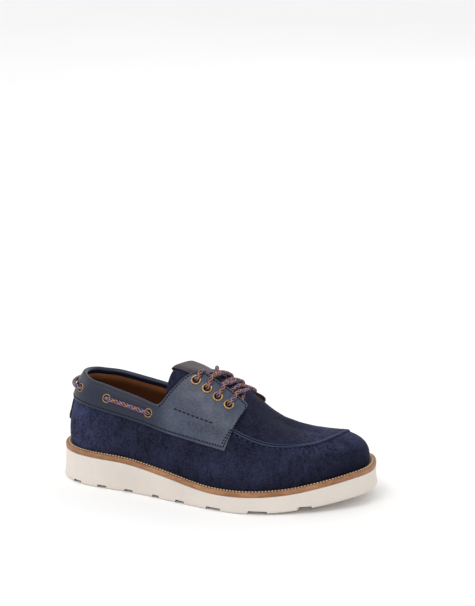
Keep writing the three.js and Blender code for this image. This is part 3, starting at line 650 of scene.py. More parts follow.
def welt_finish():
    finish = Finish("welt_leather", IOR=1.46)
    fibres = finish.noise(420, 4, 0.65, finish.stretched(0.25, 0.25, 1.0))
    light = finish.mix(finish.cloud(0.34, 0.68, 45, 4, 0.6), colour(146, 98, 62), colour(176, 126, 86))
    light = finish.mix(finish.ramp(fibres, 0.42, 0.62), light, colour(108, 70, 46), 0.45)
    # Painted shade: darker in the stitch groove and where the welt runs in under the upper.
    finish.base(finish.mix(finish.attribute("groove"), light, colour(34, 22, 20)))
    finish.rough(0.45, fibres, 0.2)
    finish.bumps((fibres, 0.00015))
    return finish.material


def brass_finish():
    finish = Finish("eyelet_brass", Metallic=1.0)
    tarnish = finish.cloud(0.38, 0.66, 700, 4, 0.6)
    finish.base(finish.mix(tarnish, colour(176, 148, 104), colour(120, 92, 56)))
    finish.rough(0.26, tarnish, 0.2)
    finish.bumps((finish.noise(1200, 2, 0.5), 0.00003))
    return finish.material


def thread_finish(name, dark, light):
    finish = Finish(name, Sheen_Weight=0.04, IOR=1.45, Specular_IOR_Level=0.2)
    twist = finish.cloud(0.4, 0.65, 1600, 2, 0.5)
    finish.base(finish.mix(twist, dark, light))
    finish.rough(0.7)
    finish.bumps((twist, 0.00008))
    return finish.material


YARNS = 8  # yarns of the braid running each way round
BRAID_LAY = 16.0  # length over which a yarn goes once round


def braid_finish():
    """Yarns of three colours. The weave map counts yarns: u round the lace, v along it."""
    finish = Finish("lace_braid", Sheen_Weight=0.1, IOR=1.45, Specular_IOR_Level=0.25)
    weave = finish.node("ShaderNodeUVMap", uv_map="weave")
    u, v = (finish.node("ShaderNodeSeparateXYZ", {0: weave}, output=k) for k in (0, 1))
    right = finish.math("FLOOR", finish.math("ADD", u, v))
    left = finish.math("FLOOR", finish.math("SUBTRACT", u, v))
    turn = finish.math("ABSOLUTE", finish.math("MODULO", finish.math("ADD", right, left), 2.0))
    lilac, rust, dark = colour(108, 110, 180), colour(172, 112, 50), colour(6, 5, 7)

    def every(count, left_over):
        rest = finish.math("FLOORED_MODULO", count, 4.0)
        return finish.math("COMPARE", rest, left_over, 0.5)

    right_yarn = finish.mix(every(right, 1.0), finish.mix(every(right, 3.0), lilac, rust), dark)
    left_yarn = finish.mix(every(left, 1.0), finish.mix(every(left, 3.0), rust, dark), dark)
    yarn = finish.mix(turn, right_yarn, left_yarn)
    finish.base(finish.mix(finish.cloud(0.35, 0.75, 1800, 2, 0.5), yarn, colour(20, 13, 14), 0.35))
    finish.rough(0.75)
    finish.bumps((finish.noise(2200, 2, 0.6), 0.0001))
    return finish.material


def floor_finish():
    finish = Finish("floor", Specular_IOR_Level=0.1)
    finish.base(finish.mix(finish.noise(3, 2), colour(246, 246, 246), colour(250, 250, 250)))
    finish.rough(0.9)
    return finish.material


suede = suede_finish()
leather = leather_finish()
lining = plain_leather("lining_leather", colour(168, 104, 64), colour(196, 128, 84), 0.5,
                       deep_shade=colour(88, 48, 25))
sock = plain_leather("insole_leather", colour(104, 62, 36), colour(134, 84, 52), 0.45)
label_leather = plain_leather("label_leather", colour(40, 29, 36), colour(62, 49, 57), 0.4, 60)
rubber = sole_finish()
tan = welt_finish()
brass = brass_finish()
navy_thread = thread_finish("navy_thread", colour(3, 6, 22), colour(10, 17, 44))
cream_thread = thread_finish("cream_thread", colour(182, 158, 122), colour(226, 212, 184))
braid = braid_finish()

# ---------------------------------------------------------------- outsole, welt and insole
SOLE_STEPS = 440
SOCK_STEPS = 200
BELOW, BEYOND = 10.0, 95.0  # how far the grooves' cutter reaches down and to each side
SOLE_RIM = 0.8  # height of the sole's rounded upper edge


def ring(steps, inset, height):
    """A ring round the shoe, inside the sole's outline. height gives z from x."""
    x, y = outline(LOOP * np.arange(steps) / steps, inset)
    return np.stack([x, y, height(x)], -1)


def make_outsole():
    """The rubber sole: rounded lower edge, dished side, upper face and higher middle."""
    rings = []
    for angle in np.radians((0, 22, 45, 68, 90)):
        inset = EDGE_ROUND * (1 - math.sin(angle)) - SIDE_FLARE
        lift = EDGE_ROUND * (1 - math.cos(angle))
        rings.append(ring(SOLE_STEPS, inset, lambda x, lift=lift: sole_bottom(x) + lift))
    for share in (0.25, 0.5, 0.75, 0.93):
        dish = 0.5 * math.sin(math.pi * share)

        def side(x, share=share):
            low = sole_bottom(x) + EDGE_ROUND
            return low + (sole_top(x) - SOLE_RIM - low) * share

        rings.append(ring(SOLE_STEPS, dish - SIDE_FLARE * (1 - share), side))
    for inset, drop in ((0.0, 0.7), (0.2, 0.2), (0.7, 0.0), (WELT_WIDTH + GAP, 0.0)):
        rings.append(ring(SOLE_STEPS, inset, lambda x, drop=drop: sole_top(x) - drop))
    rings.append(ring(SOLE_STEPS, WELT_WIDTH + GAP, welt_top))
    piece = stacked("sole", rings, rubber, "sole", ["outsole"])
    cut_grooves(piece)


def cut_grooves(piece):
    """Cuts the grooves between the lugs across the sole."""
    points, faces = [], []
    for x, mouth in GROOVES:
        half, lean = (mouth + GROOVE_LEAN) / 2, LUG_DEPTH * 0.4
        top = float(sole_bottom(x)) + LUG_DEPTH
        flare = half + lean * (top + BELOW) / LUG_DEPTH / 2
        right = [(flare, -BELOW), (half - lean, top - 0.4), (half - lean - 0.5, top)]
        section = right + [(-dx, z) for dx, z in right[::-1]]
        faces += [tuple(len(points) + k for k in face) for face in rod_faces(2, len(section))]
        points += [(x + dx, y, z) for y in (BEYOND, -BEYOND) for dx, z in section]
    cutter = new_object("cutter", in_metres(points), faces)
    cut = piece.modifiers.new("grooves", "BOOLEAN")
    cut.operation = "DIFFERENCE"
    cut.solver = "EXACT"
    cut.object = cutter
    apply_modifiers(piece)
    bpy.data.objects.remove(cutter)
    sharpen(piece, 38)


def apply_modifiers(piece):
    """Keeps the result of the modifiers as the piece's own mesh."""
    graph = bpy.context.evaluated_depsgraph_get()
    result = bpy.data.meshes.new_from_object(piece.evaluated_get(graph))
    piece.modifiers.clear()
    piece.data = result


def sharpen(piece, degrees):
    """Smooth shading, apart from edges that turn by more than the angle."""
    piece.data.polygons.foreach_set("use_smooth", [True] * len(piece.data.polygons))
    piece.data.set_sharp_from_angle(angle=math.radians(degrees))


WELT_GROOVE = 3.4  # from the welt's edge to its row of stitches


# The welt's section: distance from the sole's edge, and share of its thickness.
WELT_SECTION = [
    (0.9, 0), (0.35, 0.03), (0.05, 0.12), (-0.1, 0.3), (-0.1, 0.55), (0.05, 0.78), (0.35, 0.92),
    (0.9, 0.99), (1.5, 1), (WELT_GROOVE - 0.9, 1), (WELT_GROOVE - 0.5, 0.88), (WELT_GROOVE, 0.82),
    (WELT_GROOVE + 0.5, 0.88), (WELT_GROOVE + 0.9, 1), (5.2, 1), (WELT_WIDTH, 1), (WELT_WIDTH, 0),
]


def make_welt():
    rings = []
    for inset, share in WELT_SECTION:
        lift = GAP * (1 - share) + WELT_THICKNESS * share
        rings.append(ring(SOLE_STEPS, inset, lambda x, lift=lift: sole_top(x) + lift))
    insets = np.array(WELT_SECTION)[:, 0]
    # Painted shade in the stitch groove and under the upper's edge.
    groove = np.maximum(bump(insets - WELT_GROOVE, 0.8), 0.8 * smooth(4.1, 5.0, insets))
    values = {"groove": np.repeat(groove, SOLE_STEPS)}
    faces = ring_faces(len(rings), SOLE_STEPS, True)
    mesh_piece("welt_strip", np.concatenate(rings), faces, tan, "welt", ["welt"], values)


def make_insole():
    t = LOOP * np.arange(SOCK_STEPS) / SOCK_STEPS
    edge = reveal(t) + WALL + 2 * GAP
    rings = []
    for inset, lift in ((0.3, 0.0), (0.0, 0.4), (0.0, 2.6), (0.4, 3.2), (1.4, INSOLE_THICKNESS), (9.0, 3.0)):
        x, y = outline(t, edge + inset)
        rings.append(np.stack([x, y, welt_top(x) + GAP + lift], -1))
    stacked("sock", rings, sock, "insole", ["insole"])


# ---------------------------------------------------------------- upper
UPPER_COLUMNS = 560
LINING_COLUMNS = 200
LINING_LOW, LINING_HIGH = 22, 12  # rows below and above the suede's upper edge
GATHERS = 42  # how closely the suede is gathered along the seam
# Gentle waves: height, length and seed.
SUEDE_WAVES = (0.28, 34, 5)
LINING_WAVES = (0.15, 30, 9)
SADDLE_WAVES = (0.16, 26, 3)
TONGUE_WAVES = (0.25, 24, 21)
CROSSED = 7  # waves that cross each other
BAND_HALF = 5.0  # the rows lie close together this far to each side of the seam
BAND_ROWS = 34
LOW_ROWS = 30
VAMP_ROWS = 20
NAP_WALL = 1.0  # the suede alone, without its lining
DEEPEST = 0.85  # no trough goes deeper into the suede
THROAT = 5.54

seam_height = open_curve(SEAM[:, 0], SEAM[:, 1])

# Soft creases: x and z of the middle, side, direction in degrees from +X towards +Z,
# half length, half width, and height (negative for a trough).
CREASES = [
    (196, 50, -1, 62, 13, 3.2, -0.5),
    (202, 47, -1, 66, 11, 3.0, 0.35),
    (224, 44, -1, 74, 9, 3.0, -0.35),
    (150, 44, -1, 80, 10, 4.0, -0.35),
    (158, 42, -1, 84, 9, 3.5, 0.3),
    (104, 50, -1, 76, 10, 4.5, -0.4),
    (60, 56, -1, 70, 10, 4.0, -0.35),
    (36, 56, -1, 96, 12, 4.0, 0.35),
    (262, 50, -1, 20, 12, 2.6, -0.35),
    (200, 52, 1, 64, 12, 3.2, -0.5),
    (207, 50, 1, 68, 10, 3.0, 0.35),
    (150, 46, 1, 84, 10, 4.0, -0.35),
    (100, 52, 1, 78, 10, 4.5, -0.4),
    (48, 56, 1, 92, 11, 4.0, -0.35),
]
VAMP_SINK = 1.1  # the vamp lies this much lower behind the toe box
# Dents across the vamp behind the toe box: x in the middle, half width and height.
VAMP_FOLDS = [(209, 3.2, -0.4), (215, 3.4, 0.25), (222, 4.0, -0.35), (193, 4.0, 0.3)]


def edge_place(t):
    """u of the suede's upper edge at t, for places behind the throat."""
    t = np.asarray(t, float)
    low, high = np.full(t.shape, 0.2), np.full(t.shape, 0.98)
    for _ in range(40):
        middle = (low + high) / 2
        p = surface(t, middle)
        under = p[..., 2] < top_edge_height(p[..., 0])
        low, high = np.where(under, middle, low), np.where(under, high, middle)
    return low


def upper_columns(count):
    """Places of the grid's columns, the same on both sides, with one at the throat."""
    half = np.linspace(0, TOE, count // 2 + 1)
    half[np.argmin(np.abs(half - THROAT))] = THROAT
    return np.r_[half, LOOP - half[1:-1][::-1]]


def behind_throat(t):
    """Whether the shoe is open there, above the suede's upper edge."""
    return np.where(t > TOE, LOOP - t, t) < THROAT - 1e-9


def upper_rows(t):
    """Heights of the grid's rows at each place, and distances from the seam."""
    is_open = behind_throat(t)
    seam = seam_height(t)
    speed = np.linalg.norm(surface(t, seam + 0.005) - surface(t, seam - 0.005), axis=-1) / 0.01
    half = BAND_HALF / speed
    edge = edge_place(t)
    seam_row = np.where(is_open, edge - half, seam)
    top = np.where(is_open, edge, seam + half)
    low = seam_row - half
    rows = [low * k / LOW_ROWS for k in range(LOW_ROWS)]
    rows += [low + (top - low) * k / BAND_ROWS for k in range(BAND_ROWS + 1)]
    rows += [top + (1 - top) * k / VAMP_ROWS for k in range(1, VAMP_ROWS + 1)]
    u = np.stack(rows, -1)
    return u, (u - seam[:, None]) * speed[:, None]


def seam_relief(t, distance):
    """The apron seam: a puckered lip with a groove, above a trough. distance is upwards from it."""
    shown, front = seam_shares(t)
    lip = 1.7 * bump(distance - 0.2, 1.2)
    groove = -1.3 * bump(distance - 0.15, 0.5) * (1 - 0.85 * front)
    under = -1.3 * bump(distance + 2.2, 1.3) * (1 - 0.4 * front)
    plug = 0.4 * smooth(-0.4, 1.4, distance) * smooth(16, 5, distance)
    far = 1 - 0.55 * smooth(11.2, 12.0, t)
    gathers = 0.8 * np.sin(t * GATHERS) * bump(distance + 2.2, 1.5) * (0.3 + 0.7 * front)
    return shown * far * (lip + groove + under + plug + gathers)


def seam_shares(t):
    """How much of the seam shows, and how much of it is the toe's single lip."""
    shown = smooth(4.7, 5.2, t) * smooth(LOOP - 4.7, LOOP - 5.2, t)
    front = smooth(6.6, 8.0, t) * smooth(LOOP - 6.4, LOOP - 7.8, t)
    return shown, front


def crease_relief(points):
    """Height of the creases and of the dents across the vamp."""
    total = np.zeros(points.shape[:-1])
    for x, z, side, angle, half_length, half_width, height in CREASES:
        dx, dz = points[..., 0] - x, points[..., 2] - z
        c, s = math.cos(math.radians(angle)), math.sin(math.radians(angle))
        along, off = dx * c + dz * s, -dx * s + dz * c
        bow = off + 0.012 * along ** 2
        on_side = smooth(2, 14, points[..., 1] * side)
        total += height * bump(along, half_length) * bump(bow, half_width) * on_side
    for x, half_width, height in VAMP_FOLDS:
        bow = points[..., 0] - x - 0.006 * (points[..., 1] - 4) ** 2
        on_top = bump(points[..., 1] - 4, 26) * smooth(58, 62, points[..., 2])
        total += height * bump(bow, half_width) * on_top
    return total


def vamp_sink(points):
    """How far the whole wall lies lower behind the toe box."""
    sunk = smooth(190, 218, points[..., 0]) * smooth(264, 248, points[..., 0])
    return VAMP_SINK * sunk * smooth(52, 60, points[..., 2])


def soft_waves(points, height, size, seed):
    """Gentle unevenness, from a few crossed waves."""
    random = np.random.default_rng(seed)
    total = np.zeros(points.shape[:-1])
    for _ in range(CROSSED):
        direction = unit(random.normal(size=3))
        length = size * random.uniform(0.6, 1.5)
        total += np.sin(points @ direction * 2 * math.pi / length + random.uniform(0, 6.28))
    return height * (total / CROSSED)


def wall_piece(name, t, outer, inner, open_row, material, slot, replaces, values):
    """A closed sheet round the shoe, from welt to ridge, open above a row behind the throat."""
    mirrored = -np.arange(len(t)) % len(t)
    for grid in (outer, inner):
        grid[:, -1] = (grid[:, -1] + grid[mirrored, -1]) / 2
        grid[:, 0, 2] = welt_top(grid[:, 0, 0]) + GAP / 2
    is_open = behind_throat(t)
    cells_open = is_open | np.roll(is_open, -1)
    keep = np.ones((len(t), outer.shape[1] - 1), bool)
    keep[cells_open, open_row:] = False
    faces = shell_faces(keep, True, ~cells_open)
    clean(mesh_piece(name, two_grids(outer, inner), faces, material, slot, replaces, values))


def suede_values(place, distance, base, facing_up):
    """How much wear with painted highlights, painted shade and painted light the suede gets at each point."""
    shown, front = seam_shares(place)
    side = 1 - front
    gathered = np.sin(place * GATHERS)
    # Partly wear, partly painted highlight: lighter lines on the seam's lips, and on the bumps of the gathers
    # below.
    worn_and_lit = shown * np.maximum.reduce([
        bump(distance - 1.25, 0.5) * side,
        bump(distance + 0.75, 0.5) * side,
        bump(distance, 0.8) * front,
        0.55 * bump(distance + 2.6, 1.0) * smooth(0.1, 1.0, gathered) * (1 - 0.6 * front),
    ])
    scallops = 0.75 - 0.25 * gathered
    dips = np.maximum(bump(distance - 0.15, 0.45) * side, bump(distance + 1.7, 1.0) * scallops)
    x = base[..., 0]
    on_top = 0.12 * smooth(240, 222, x) * smooth(0.3, 0.8, facing_up) * smooth(170, 185, x)
    low = 0.36 * smooth(20, 2, base[..., 2] - welt_top(x)) * smooth(90, 150, x)
    toe = 0.25 * smooth(258, 285, x)
    shade = np.maximum.reduce([shown * dips * (1 - 0.35 * front), on_top, low + toe])
    # Painted light: lighter towards the heel and on the upward faces behind the toe.
    painted_light = np.maximum(smooth(70, 10, x), 0.7 * smooth(226, 246, x) * smooth(0.6, 0.9, facing_up))
    return {"worn_and_lit": worn_and_lit, "shade": shade, "painted_light": painted_light}


def make_upper():
    """The suede, with its seam, creases and gentle waves."""
    t = upper_columns(UPPER_COLUMNS)
    u, distance = upper_rows(t)
    place = np.broadcast_to(t[:, None], u.shape)
    base, normal = surface(place, u), outward(place, u)
    relief = seam_relief(place, distance) + crease_relief(base) + soft_waves(base, *SUEDE_WAVES)
    relief = relief * smooth(0.0, 0.05, u)
    relief = np.where(relief < 0, DEEPEST * np.tanh(relief / DEEPEST), relief)
    sink = vamp_sink(base)
    outer = base + normal * (relief - sink)[..., None]
    inner = base - normal * (NAP_WALL + sink)[..., None]
    values = suede_values(place, distance, base, normal[..., 2])
    values = {key: np.r_[amount.ravel(), np.zeros(amount.size)] for key, amount in values.items()}
    wall_piece("suede_upper", t, outer, inner, LOW_ROWS + BAND_ROWS, suede, "suede", ["upper"], values)


def make_lining():
    """The tan leather inside the suede."""
    t = upper_columns(LINING_COLUMNS)
    edge = edge_place(np.where(behind_throat(t), t, THROAT))
    rows = [edge * k / LINING_LOW for k in range(LINING_LOW + 1)]
    rows += [edge + (1 - edge) * k / LINING_HIGH for k in range(1, LINING_HIGH + 1)]
    u = np.stack(rows, -1)
    place = np.broadcast_to(t[:, None], u.shape)
    sink = vamp_sink(surface(place, u))
    outer = offset(place, u, -NAP_WALL - 0.05 - sink)
    inner = offset(place, u, -WALL + soft_waves(outer, *LINING_WAVES) - sink)
    # Painted shade: the lining darkens further down below the suede's upper edge.
    deep_shade = smooth(3, 13, top_edge_height(outer[..., 0]) - outer[..., 2]).ravel()
    wall_piece("upper_lining", t, outer, inner, LINING_LOW, lining, "insole", (), {"deep_shade": np.r_[deep_shade, deep_shade]})


# ---------------------------------------------------------------- saddle
SADDLE_STEPS = 14  # columns between two rows of the table
NEAR_EYELET = 12.0  # an eyelet's hole reaches no further, so not the shoe's other side
ROLL_COLUMNS = 420
ROLL_START = 6.2  # rows of the table from the saddle's ends to the roll's
BACKSTAY_HEIGHTS = (51.0, 80.0)
SEAM_MARGIN = 2.6  # from the saddle's edges to its stitches


def saddle_offset(x, across):
    """How far the leather's inner face stands off the last. The facings are lifted at the front."""
    return SADDLE_GAP + FACING_LIFT * smooth(177, 188, x) * smooth(0.35, 1, across)


def saddle_place(side, x, z, shifted):
    """The place (t, u) of a row of the table, shifted forwards and down on the inner side."""
    share = float(smooth(108, 150, x)) if side > 0 else 0.0
    down = MEDIAL_SHIFT[1] * share - MEDIAL_CREST * float(bump(x - 138, 14)) * (side > 0)
    return locate(side, x + MEDIAL_SHIFT[0] * share, z + (down if shifted else 0.0))


def saddle_edges():
    """Top and lower edge as places (t, u), from the medial front round the heel to the lateral one."""
    u = np.linspace(0.2, 0.98, 3901)
    heights = surface(0.0, u)[:, 2]
    edges = []
    for column, shifted in ((0, True), (2, False)):
        medial, lateral = ([saddle_place(side, row[column], row[column + 1], shifted) for row in SADDLE]
                           for side in (1, -1))
        back = (0.0, float(u[np.argmax(heights >= SADDLE_BACK[column // 2])]))
        edge = medial + [back] + lateral[::-1]
        edges.append(catmull(edge, (len(edge) - 1) * SADDLE_STEPS + 1))
    return edges


saddle_top, saddle_low = saddle_edges()
saddle_last = len(saddle_top) - 1
saddle_length = np.linalg.norm(surface(*saddle_top.T) - surface(*saddle_low.T), axis=-1)


def length_at(columns):
    """The saddle's length from its lower edge to its top, in millimetres."""
    return np.interp(columns, np.arange(saddle_last + 1), saddle_length)


def on_saddle(column_place, across, lift):
    """Points and normals on the saddle. column_place counts its columns, and may be a fraction."""
    column_place, across = np.broadcast_arrays(np.asarray(column_place, float), np.asarray(across, float))
    top, low = ([np.interp(column_place, np.arange(saddle_last + 1), edge[:, k]) for k in (0, 1)]
                for edge in (saddle_top, saddle_low))
    t, u = (low[k] + (top[k] - low[k]) * across for k in (0, 1))
    base = surface(t, u)
    normal = outward(t, u)
    distance = saddle_offset(base[..., 0], across) + lift
    return base + normal * distance[..., None], normal


# Soft shapes of the leather: x, z, side, half size along X and Z, and height.
SADDLE_SWELLS = [
    (150, 72, -1, 18, 9, 0.5), (128, 90, -1, 10, 12, 0.5), (112, 76, -1, 7, 7, -0.6),
    (168, 66, -1, 9, 8, -0.35), (158, 84, -1, 14, 5, 0.35), (152, 72, 1, 18, 9, 0.5),
    (130, 90, 1, 10, 12, 0.5), (114, 76, 1, 7, 7, -0.6),
]


def saddle_relief(points, across):
    """Soft unevenness of the leather, and the collar's padding."""
    puff = 0.9 * np.sin(math.pi * np.clip(across, 0, 1)) * smooth(118, 96, points[..., 0])
    total = puff + soft_waves(points, *SADDLE_WAVES)
    for x, z, side, half_x, half_z, height in SADDLE_SWELLS:
        hill = bump(points[..., 0] - x, half_x) * bump(points[..., 2] - z, half_z)
        total = total + height * hill * smooth(0, 8, points[..., 1] * side)
    return total


def eyelet_seat(side, x, z, onto):
    """The middle of an eyelet on the leather's outer face, and the outward direction."""
    t, u = saddle_place(side, x, z, True)
    p, normal = surface(t, u), outward(t, u)
    lift = saddle_offset(p[0], onto) if onto else SADDLE_GAP
    return p + normal * (lift + SADDLE_WALL), normal


SIDES = {"lateral": -1, "medial": 1}
FACING_ACROSS = 0.8
seats = {}
for side_name, sign in SIDES.items():
    for key, (eyelet_x, eyelet_z) in FACING_EYELETS.items():
        seats[f"facing_eyelet_{side_name}_{key}"] = eyelet_seat(sign, eyelet_x, eyelet_z, FACING_ACROSS)
    for key, (eyelet_x, eyelet_z) in COLLAR_EYELETS.items():
        seats[f"collar_eyelet_{side_name}_{key}"] = eyelet_seat(sign, eyelet_x, eyelet_z, 0)


def make_saddle():
    """The leather: facings, collar and quarters in one sheet, with a hole for each eyelet."""
    fine = np.array([0, 0.12, 0.35, 0.7])
    columns = np.r_[fine, np.arange(1, saddle_last), saddle_last - fine[::-1]]
    grid_columns, grid_across = np.meshgrid(columns, spread(44, 0.03), indexing="ij")
    base, normal = on_saddle(grid_columns, grid_across, 0.0)
    rim = edge_distance(base)
    relief = saddle_relief(base, grid_across) * smooth(0, 4, rim)
    outer = base + normal * (SADDLE_WALL + relief)[..., None]
    keep = np.ones((outer.shape[0] - 1, outer.shape[1] - 1), bool)
    middles = (outer[:-1, :-1] + outer[1:, 1:] + outer[1:, :-1] + outer[:-1, 1:]) / 4
    for seat, direction in seats.values():
        away = middles - seat
        radial = np.linalg.norm(away - (away @ direction)[..., None] * direction, axis=-1)
        keep &= (radial >= EYELET_HOLE + 0.1) | (np.linalg.norm(away, axis=-1) >= NEAR_EYELET)
    edge = np.maximum(0.35 * bump(rim, 0.5), 0.75 * bump(rim - 2.5, 0.8)).ravel()
    collar = collar_tone_and_shade(base).ravel()
    values = {"edge": np.r_[edge, np.ones_like(edge)], "collar": np.r_[collar, collar]}
    piece = sheet_piece("saddle_leather", outer, base, leather, "saddle", keep, 0.7,
                        replaces=["saddle"], values=values)
    line_underside(piece, (rim[:-1, :-1] + rim[1:, 1:])[keep] / 2 > 1.2)


def collar_tone_and_shade(points):
    """0 on the facings, 1 on the collar, where the leather is darker: partly its own tone, partly painted
    shade.
    """
    return smooth(122, 92, points[..., 0])


def line_underside(piece, lined):
    """The inner face of a sheet, its second lot of cells, gets tan leather where it is lined."""
    piece.data.materials.append(lining)
    inner = np.zeros(len(piece.data.polygons), np.int32)
    inner[len(lined):2 * len(lined)] = lined
    piece.data.polygons.foreach_set("material_index", inner)


def make_collar_roll():
    """The leather turned over the collar's edge and stitched down inside."""
    first = ROLL_START * SADDLE_STEPS
    columns = np.linspace(first, saddle_last - first, ROLL_COLUMNS)
    from_end = (saddle_last / 2 - np.abs(columns - saddle_last / 2)) / SADDLE_STEPS  # in rows
    collar = smooth(6.4, 9.4, from_end)
    ends = smooth(6.15, 6.9, from_end)
    points, normal = on_saddle(columns, 1.0, -SADDLE_GAP)
    up = points - on_saddle(columns, 0.9, -SADDLE_GAP)[0]
    up = unit(up - normal * np.sum(up * normal, -1, keepdims=True))
    outside = SADDLE_GAP + SADDLE_WALL + 0.12
    narrow = SADDLE_GAP - 0.55
    inside = narrow + (-WALL - 0.55 - narrow) * collar
    radius, centre = (outside - inside) / 2, (outside + inside) / 2
    strip = 2.6 + 1.6 * collar
    # The section, from inside the fold to its outer face: how far outwards and how far up.
    section = [(outside - 0.8, -3.4), (outside - 0.8, -1.2), (inside + 0.5, -1.2), (inside + 0.5, -strip)]
    section += [(inside + 0.2, -strip), (inside, 0.4 - strip), (inside, -strip * 0.5)]
    for angle in np.radians(np.linspace(180, 0, 15)):
        section.append((centre + radius * math.cos(angle), -0.6 + radius * math.sin(angle) * 0.85))
    section += [(outside, -1.6), (outside - 0.35, -3.4)]
    rings = []
    for out, lift in section:
        out = centre + (out - centre) * (0.3 + 0.7 * ends)
        lift = lift * (0.4 + 0.6 * ends)
        rings.append(points + normal * out[:, None] + up * lift[:, None])
    rings = np.stack(rings, 1)
    edge = np.zeros(len(section))
    edge[-3:] = 0.25
    edge[:-8] = 0.6
    edge[:-12] = 1.0
    values = {"edge": np.tile(edge, ROLL_COLUMNS), "collar": np.repeat(collar_tone_and_shade(points), len(section))}
    faces = rod_faces(*rings.shape[:2])
    mesh_piece("collar_edge", rings.reshape(-1, 3), faces, leather, "saddle", (), values)


def make_backstay():
    """A leather strip down the back seam."""
    across = np.linspace(-1, 1, 33)[:, None]
    down = spread(36, 0.05)[None, :]
    u_all = np.linspace(0.1, 0.6, 2001)
    u_low, u_high = np.interp(BACKSTAY_HEIGHTS, surface(0.0, u_all)[:, 2], u_all)
    place = across * (0.34 - 0.1 * smooth(0.35, 0.0, down) ** 2)
    u = u_low + (u_high - u_low) * down + 0.012 * across ** 2 * smooth(0.5, 0.0, down)
    outer = offset(place, u, 1.35 + 0.8 * smooth(0.45, 0.12, down) + 0 * u)
    inner = offset(place, u, np.full(u.shape, 0.35))
    edge = bump(edge_distance(outer), 1.2).ravel()
    # The backstay has the collar's darker tone all over, partly painted shade.
    values = {"edge": np.r_[edge, np.ones_like(edge)], "collar": np.ones(2 * edge.size)}
    sheet_piece("backstay", outer, inner, leather, "saddle", values=values)


# ---------------------------------------------------------------- stitches
# Stitches: length, width, height and pitch.
SADDLE_STITCH = (1.9, 1.35, 0.8, 2.7)
TACKING_STITCH = (3.5, 1.35, 0.8, 4.4)
WELT_STITCH = (1.6, 2.1, 2.0, 3.0)


def stitch_shape():
    """A small rounded rod of length, width and height 1."""
    around, along = 8, [-0.47, -0.36, -0.15, 0.15, 0.36, 0.47]
    points, faces = [(-0.5, 0.0, 0.0)], []
    for place in along:
        radius = 0.5 * (1 - abs(place / 0.5) ** 4) ** 0.5
        for k in range(around):
            angle = 2 * math.pi * k / around
            points.append((place, radius * math.cos(angle), radius * math.sin(angle)))
    points.append((0.5, 0.0, 0.0))
    end = len(points) - 1
    for k in range(around):
        following = (k + 1) % around
        faces.append((0, 1 + following, 1 + k))
        for m in range(len(along) - 1):
            a, b = 1 + m * around, 1 + (m + 1) * around
            faces.append((a + k, a + following, b + following, b + k))
        last = 1 + (len(along) - 1) * around
        faces.append((last + k, last + following, end))
    return np.array(points), faces


STITCH_POINTS, STITCH_FACES = stitch_shape()


def stitches(name, rows, size, thread, slot):
    """A piece of stitches along rows, each a polyline with its normals."""
    length, width, height, pitch = size
    local = STITCH_POINTS * np.array([length, width, height])
    points, faces = [], []
    for line, normals in rows:
        run = lengths_along(line)
        number = max(int(run[-1] / pitch), 1)
        places = (np.arange(number) + 0.5) * run[-1] / number
        middle = sample(places, run, line)
        normal = unit(sample(places, run, normals))
        along = unit(sample(places + 0.3, run, line) - sample(places - 0.3, run, line))
        for centre, *axes in zip(middle, along, np.cross(normal, along), normal):
            start = len(points) * len(local)
            points.append(centre + local @ np.stack(axes))
            faces += [tuple(start + k for k in face) for face in STITCH_FACES]
    mesh_piece(name, np.concatenate(points), faces, thread, slot)


def saddle_row(columns, across):
    """A line just above the leather's outer face, following its relief."""
    base, normal = on_saddle(columns, across, 0.0)
    relief = saddle_relief(base, np.broadcast_to(across, base.shape[:-1]))
    return base + normal * (SADDLE_WALL + relief + 0.02)[..., None], normal


def make_saddle_stitching():
    inset = 3.6 / column_step(np.array([0.1]))[0]
    body = np.linspace(0, saddle_last, 900)
    body = body[(body > inset) & (body < saddle_last - inset)]
    rows = [saddle_row(body, SEAM_MARGIN / length_at(body))]
    for from_end in (lambda place: place, lambda place: saddle_last - place):
        for margin, low, high in ((SEAM_MARGIN, 0.05, 0.95), (SEAM_MARGIN + 2.3, 0.09, 0.42)):
            across = np.linspace(low, high, 120)
            rows.append(saddle_row(from_end(margin / column_step(across)), across))
        along = from_end(np.linspace(0.6 * SADDLE_STEPS, 9.2 * SADDLE_STEPS, 260))
        rows.append(saddle_row(along, 1 - 2.7 / length_at(along)))
    stitches("saddle_stitching", rows, SADDLE_STITCH, navy_thread, "saddle")


def column_step(across):
    """Length in millimetres of one column step by the front edges, for each height."""
    edge, _ = on_saddle(0.0, across, 0.0)
    inside, _ = on_saddle(4.0, across, 0.0)
    return np.linalg.norm(inside - edge, axis=-1) / 4


TACKING = ((121.5, 83.4), (161.2, 74.4))  # x and z of the row's two ends


def make_tacking():
    """The short row of long stitches on each quarter."""
    rows = []
    for side in (-1, 1):
        points, normals = [], []
        for x, z in np.linspace(*TACKING, 25):
            t, u = locate(side, x, z)
            normal = outward(t, u)
            base = surface(t, u) + normal * SADDLE_GAP
            relief = float(saddle_relief(base, np.array(0.45)))
            points.append(base + normal * (SADDLE_WALL + relief + 0.02))
            normals.append(normal)
        rows.append((np.array(points), np.array(normals)))
    stitches("tacking_stitches", rows, TACKING_STITCH, navy_thread, "saddle")


def make_welt_stitching():
    steps = 1400
    x, y = outline(LOOP * np.arange(steps + 1) / steps, WELT_GROOVE)
    line = np.stack([x, y, welt_top(x) - 0.2], -1)
    normals = np.tile([0.0, 0.0, 1.0], (steps + 1, 1))
    stitches("welt_stitching", [(line, normals)], WELT_STITCH, cream_thread, "welt")


# ---------------------------------------------------------------- eyelets
EYELET_STEPS = 40
EYELET_LIP = 0.75  # height of the rolled ring over its flange


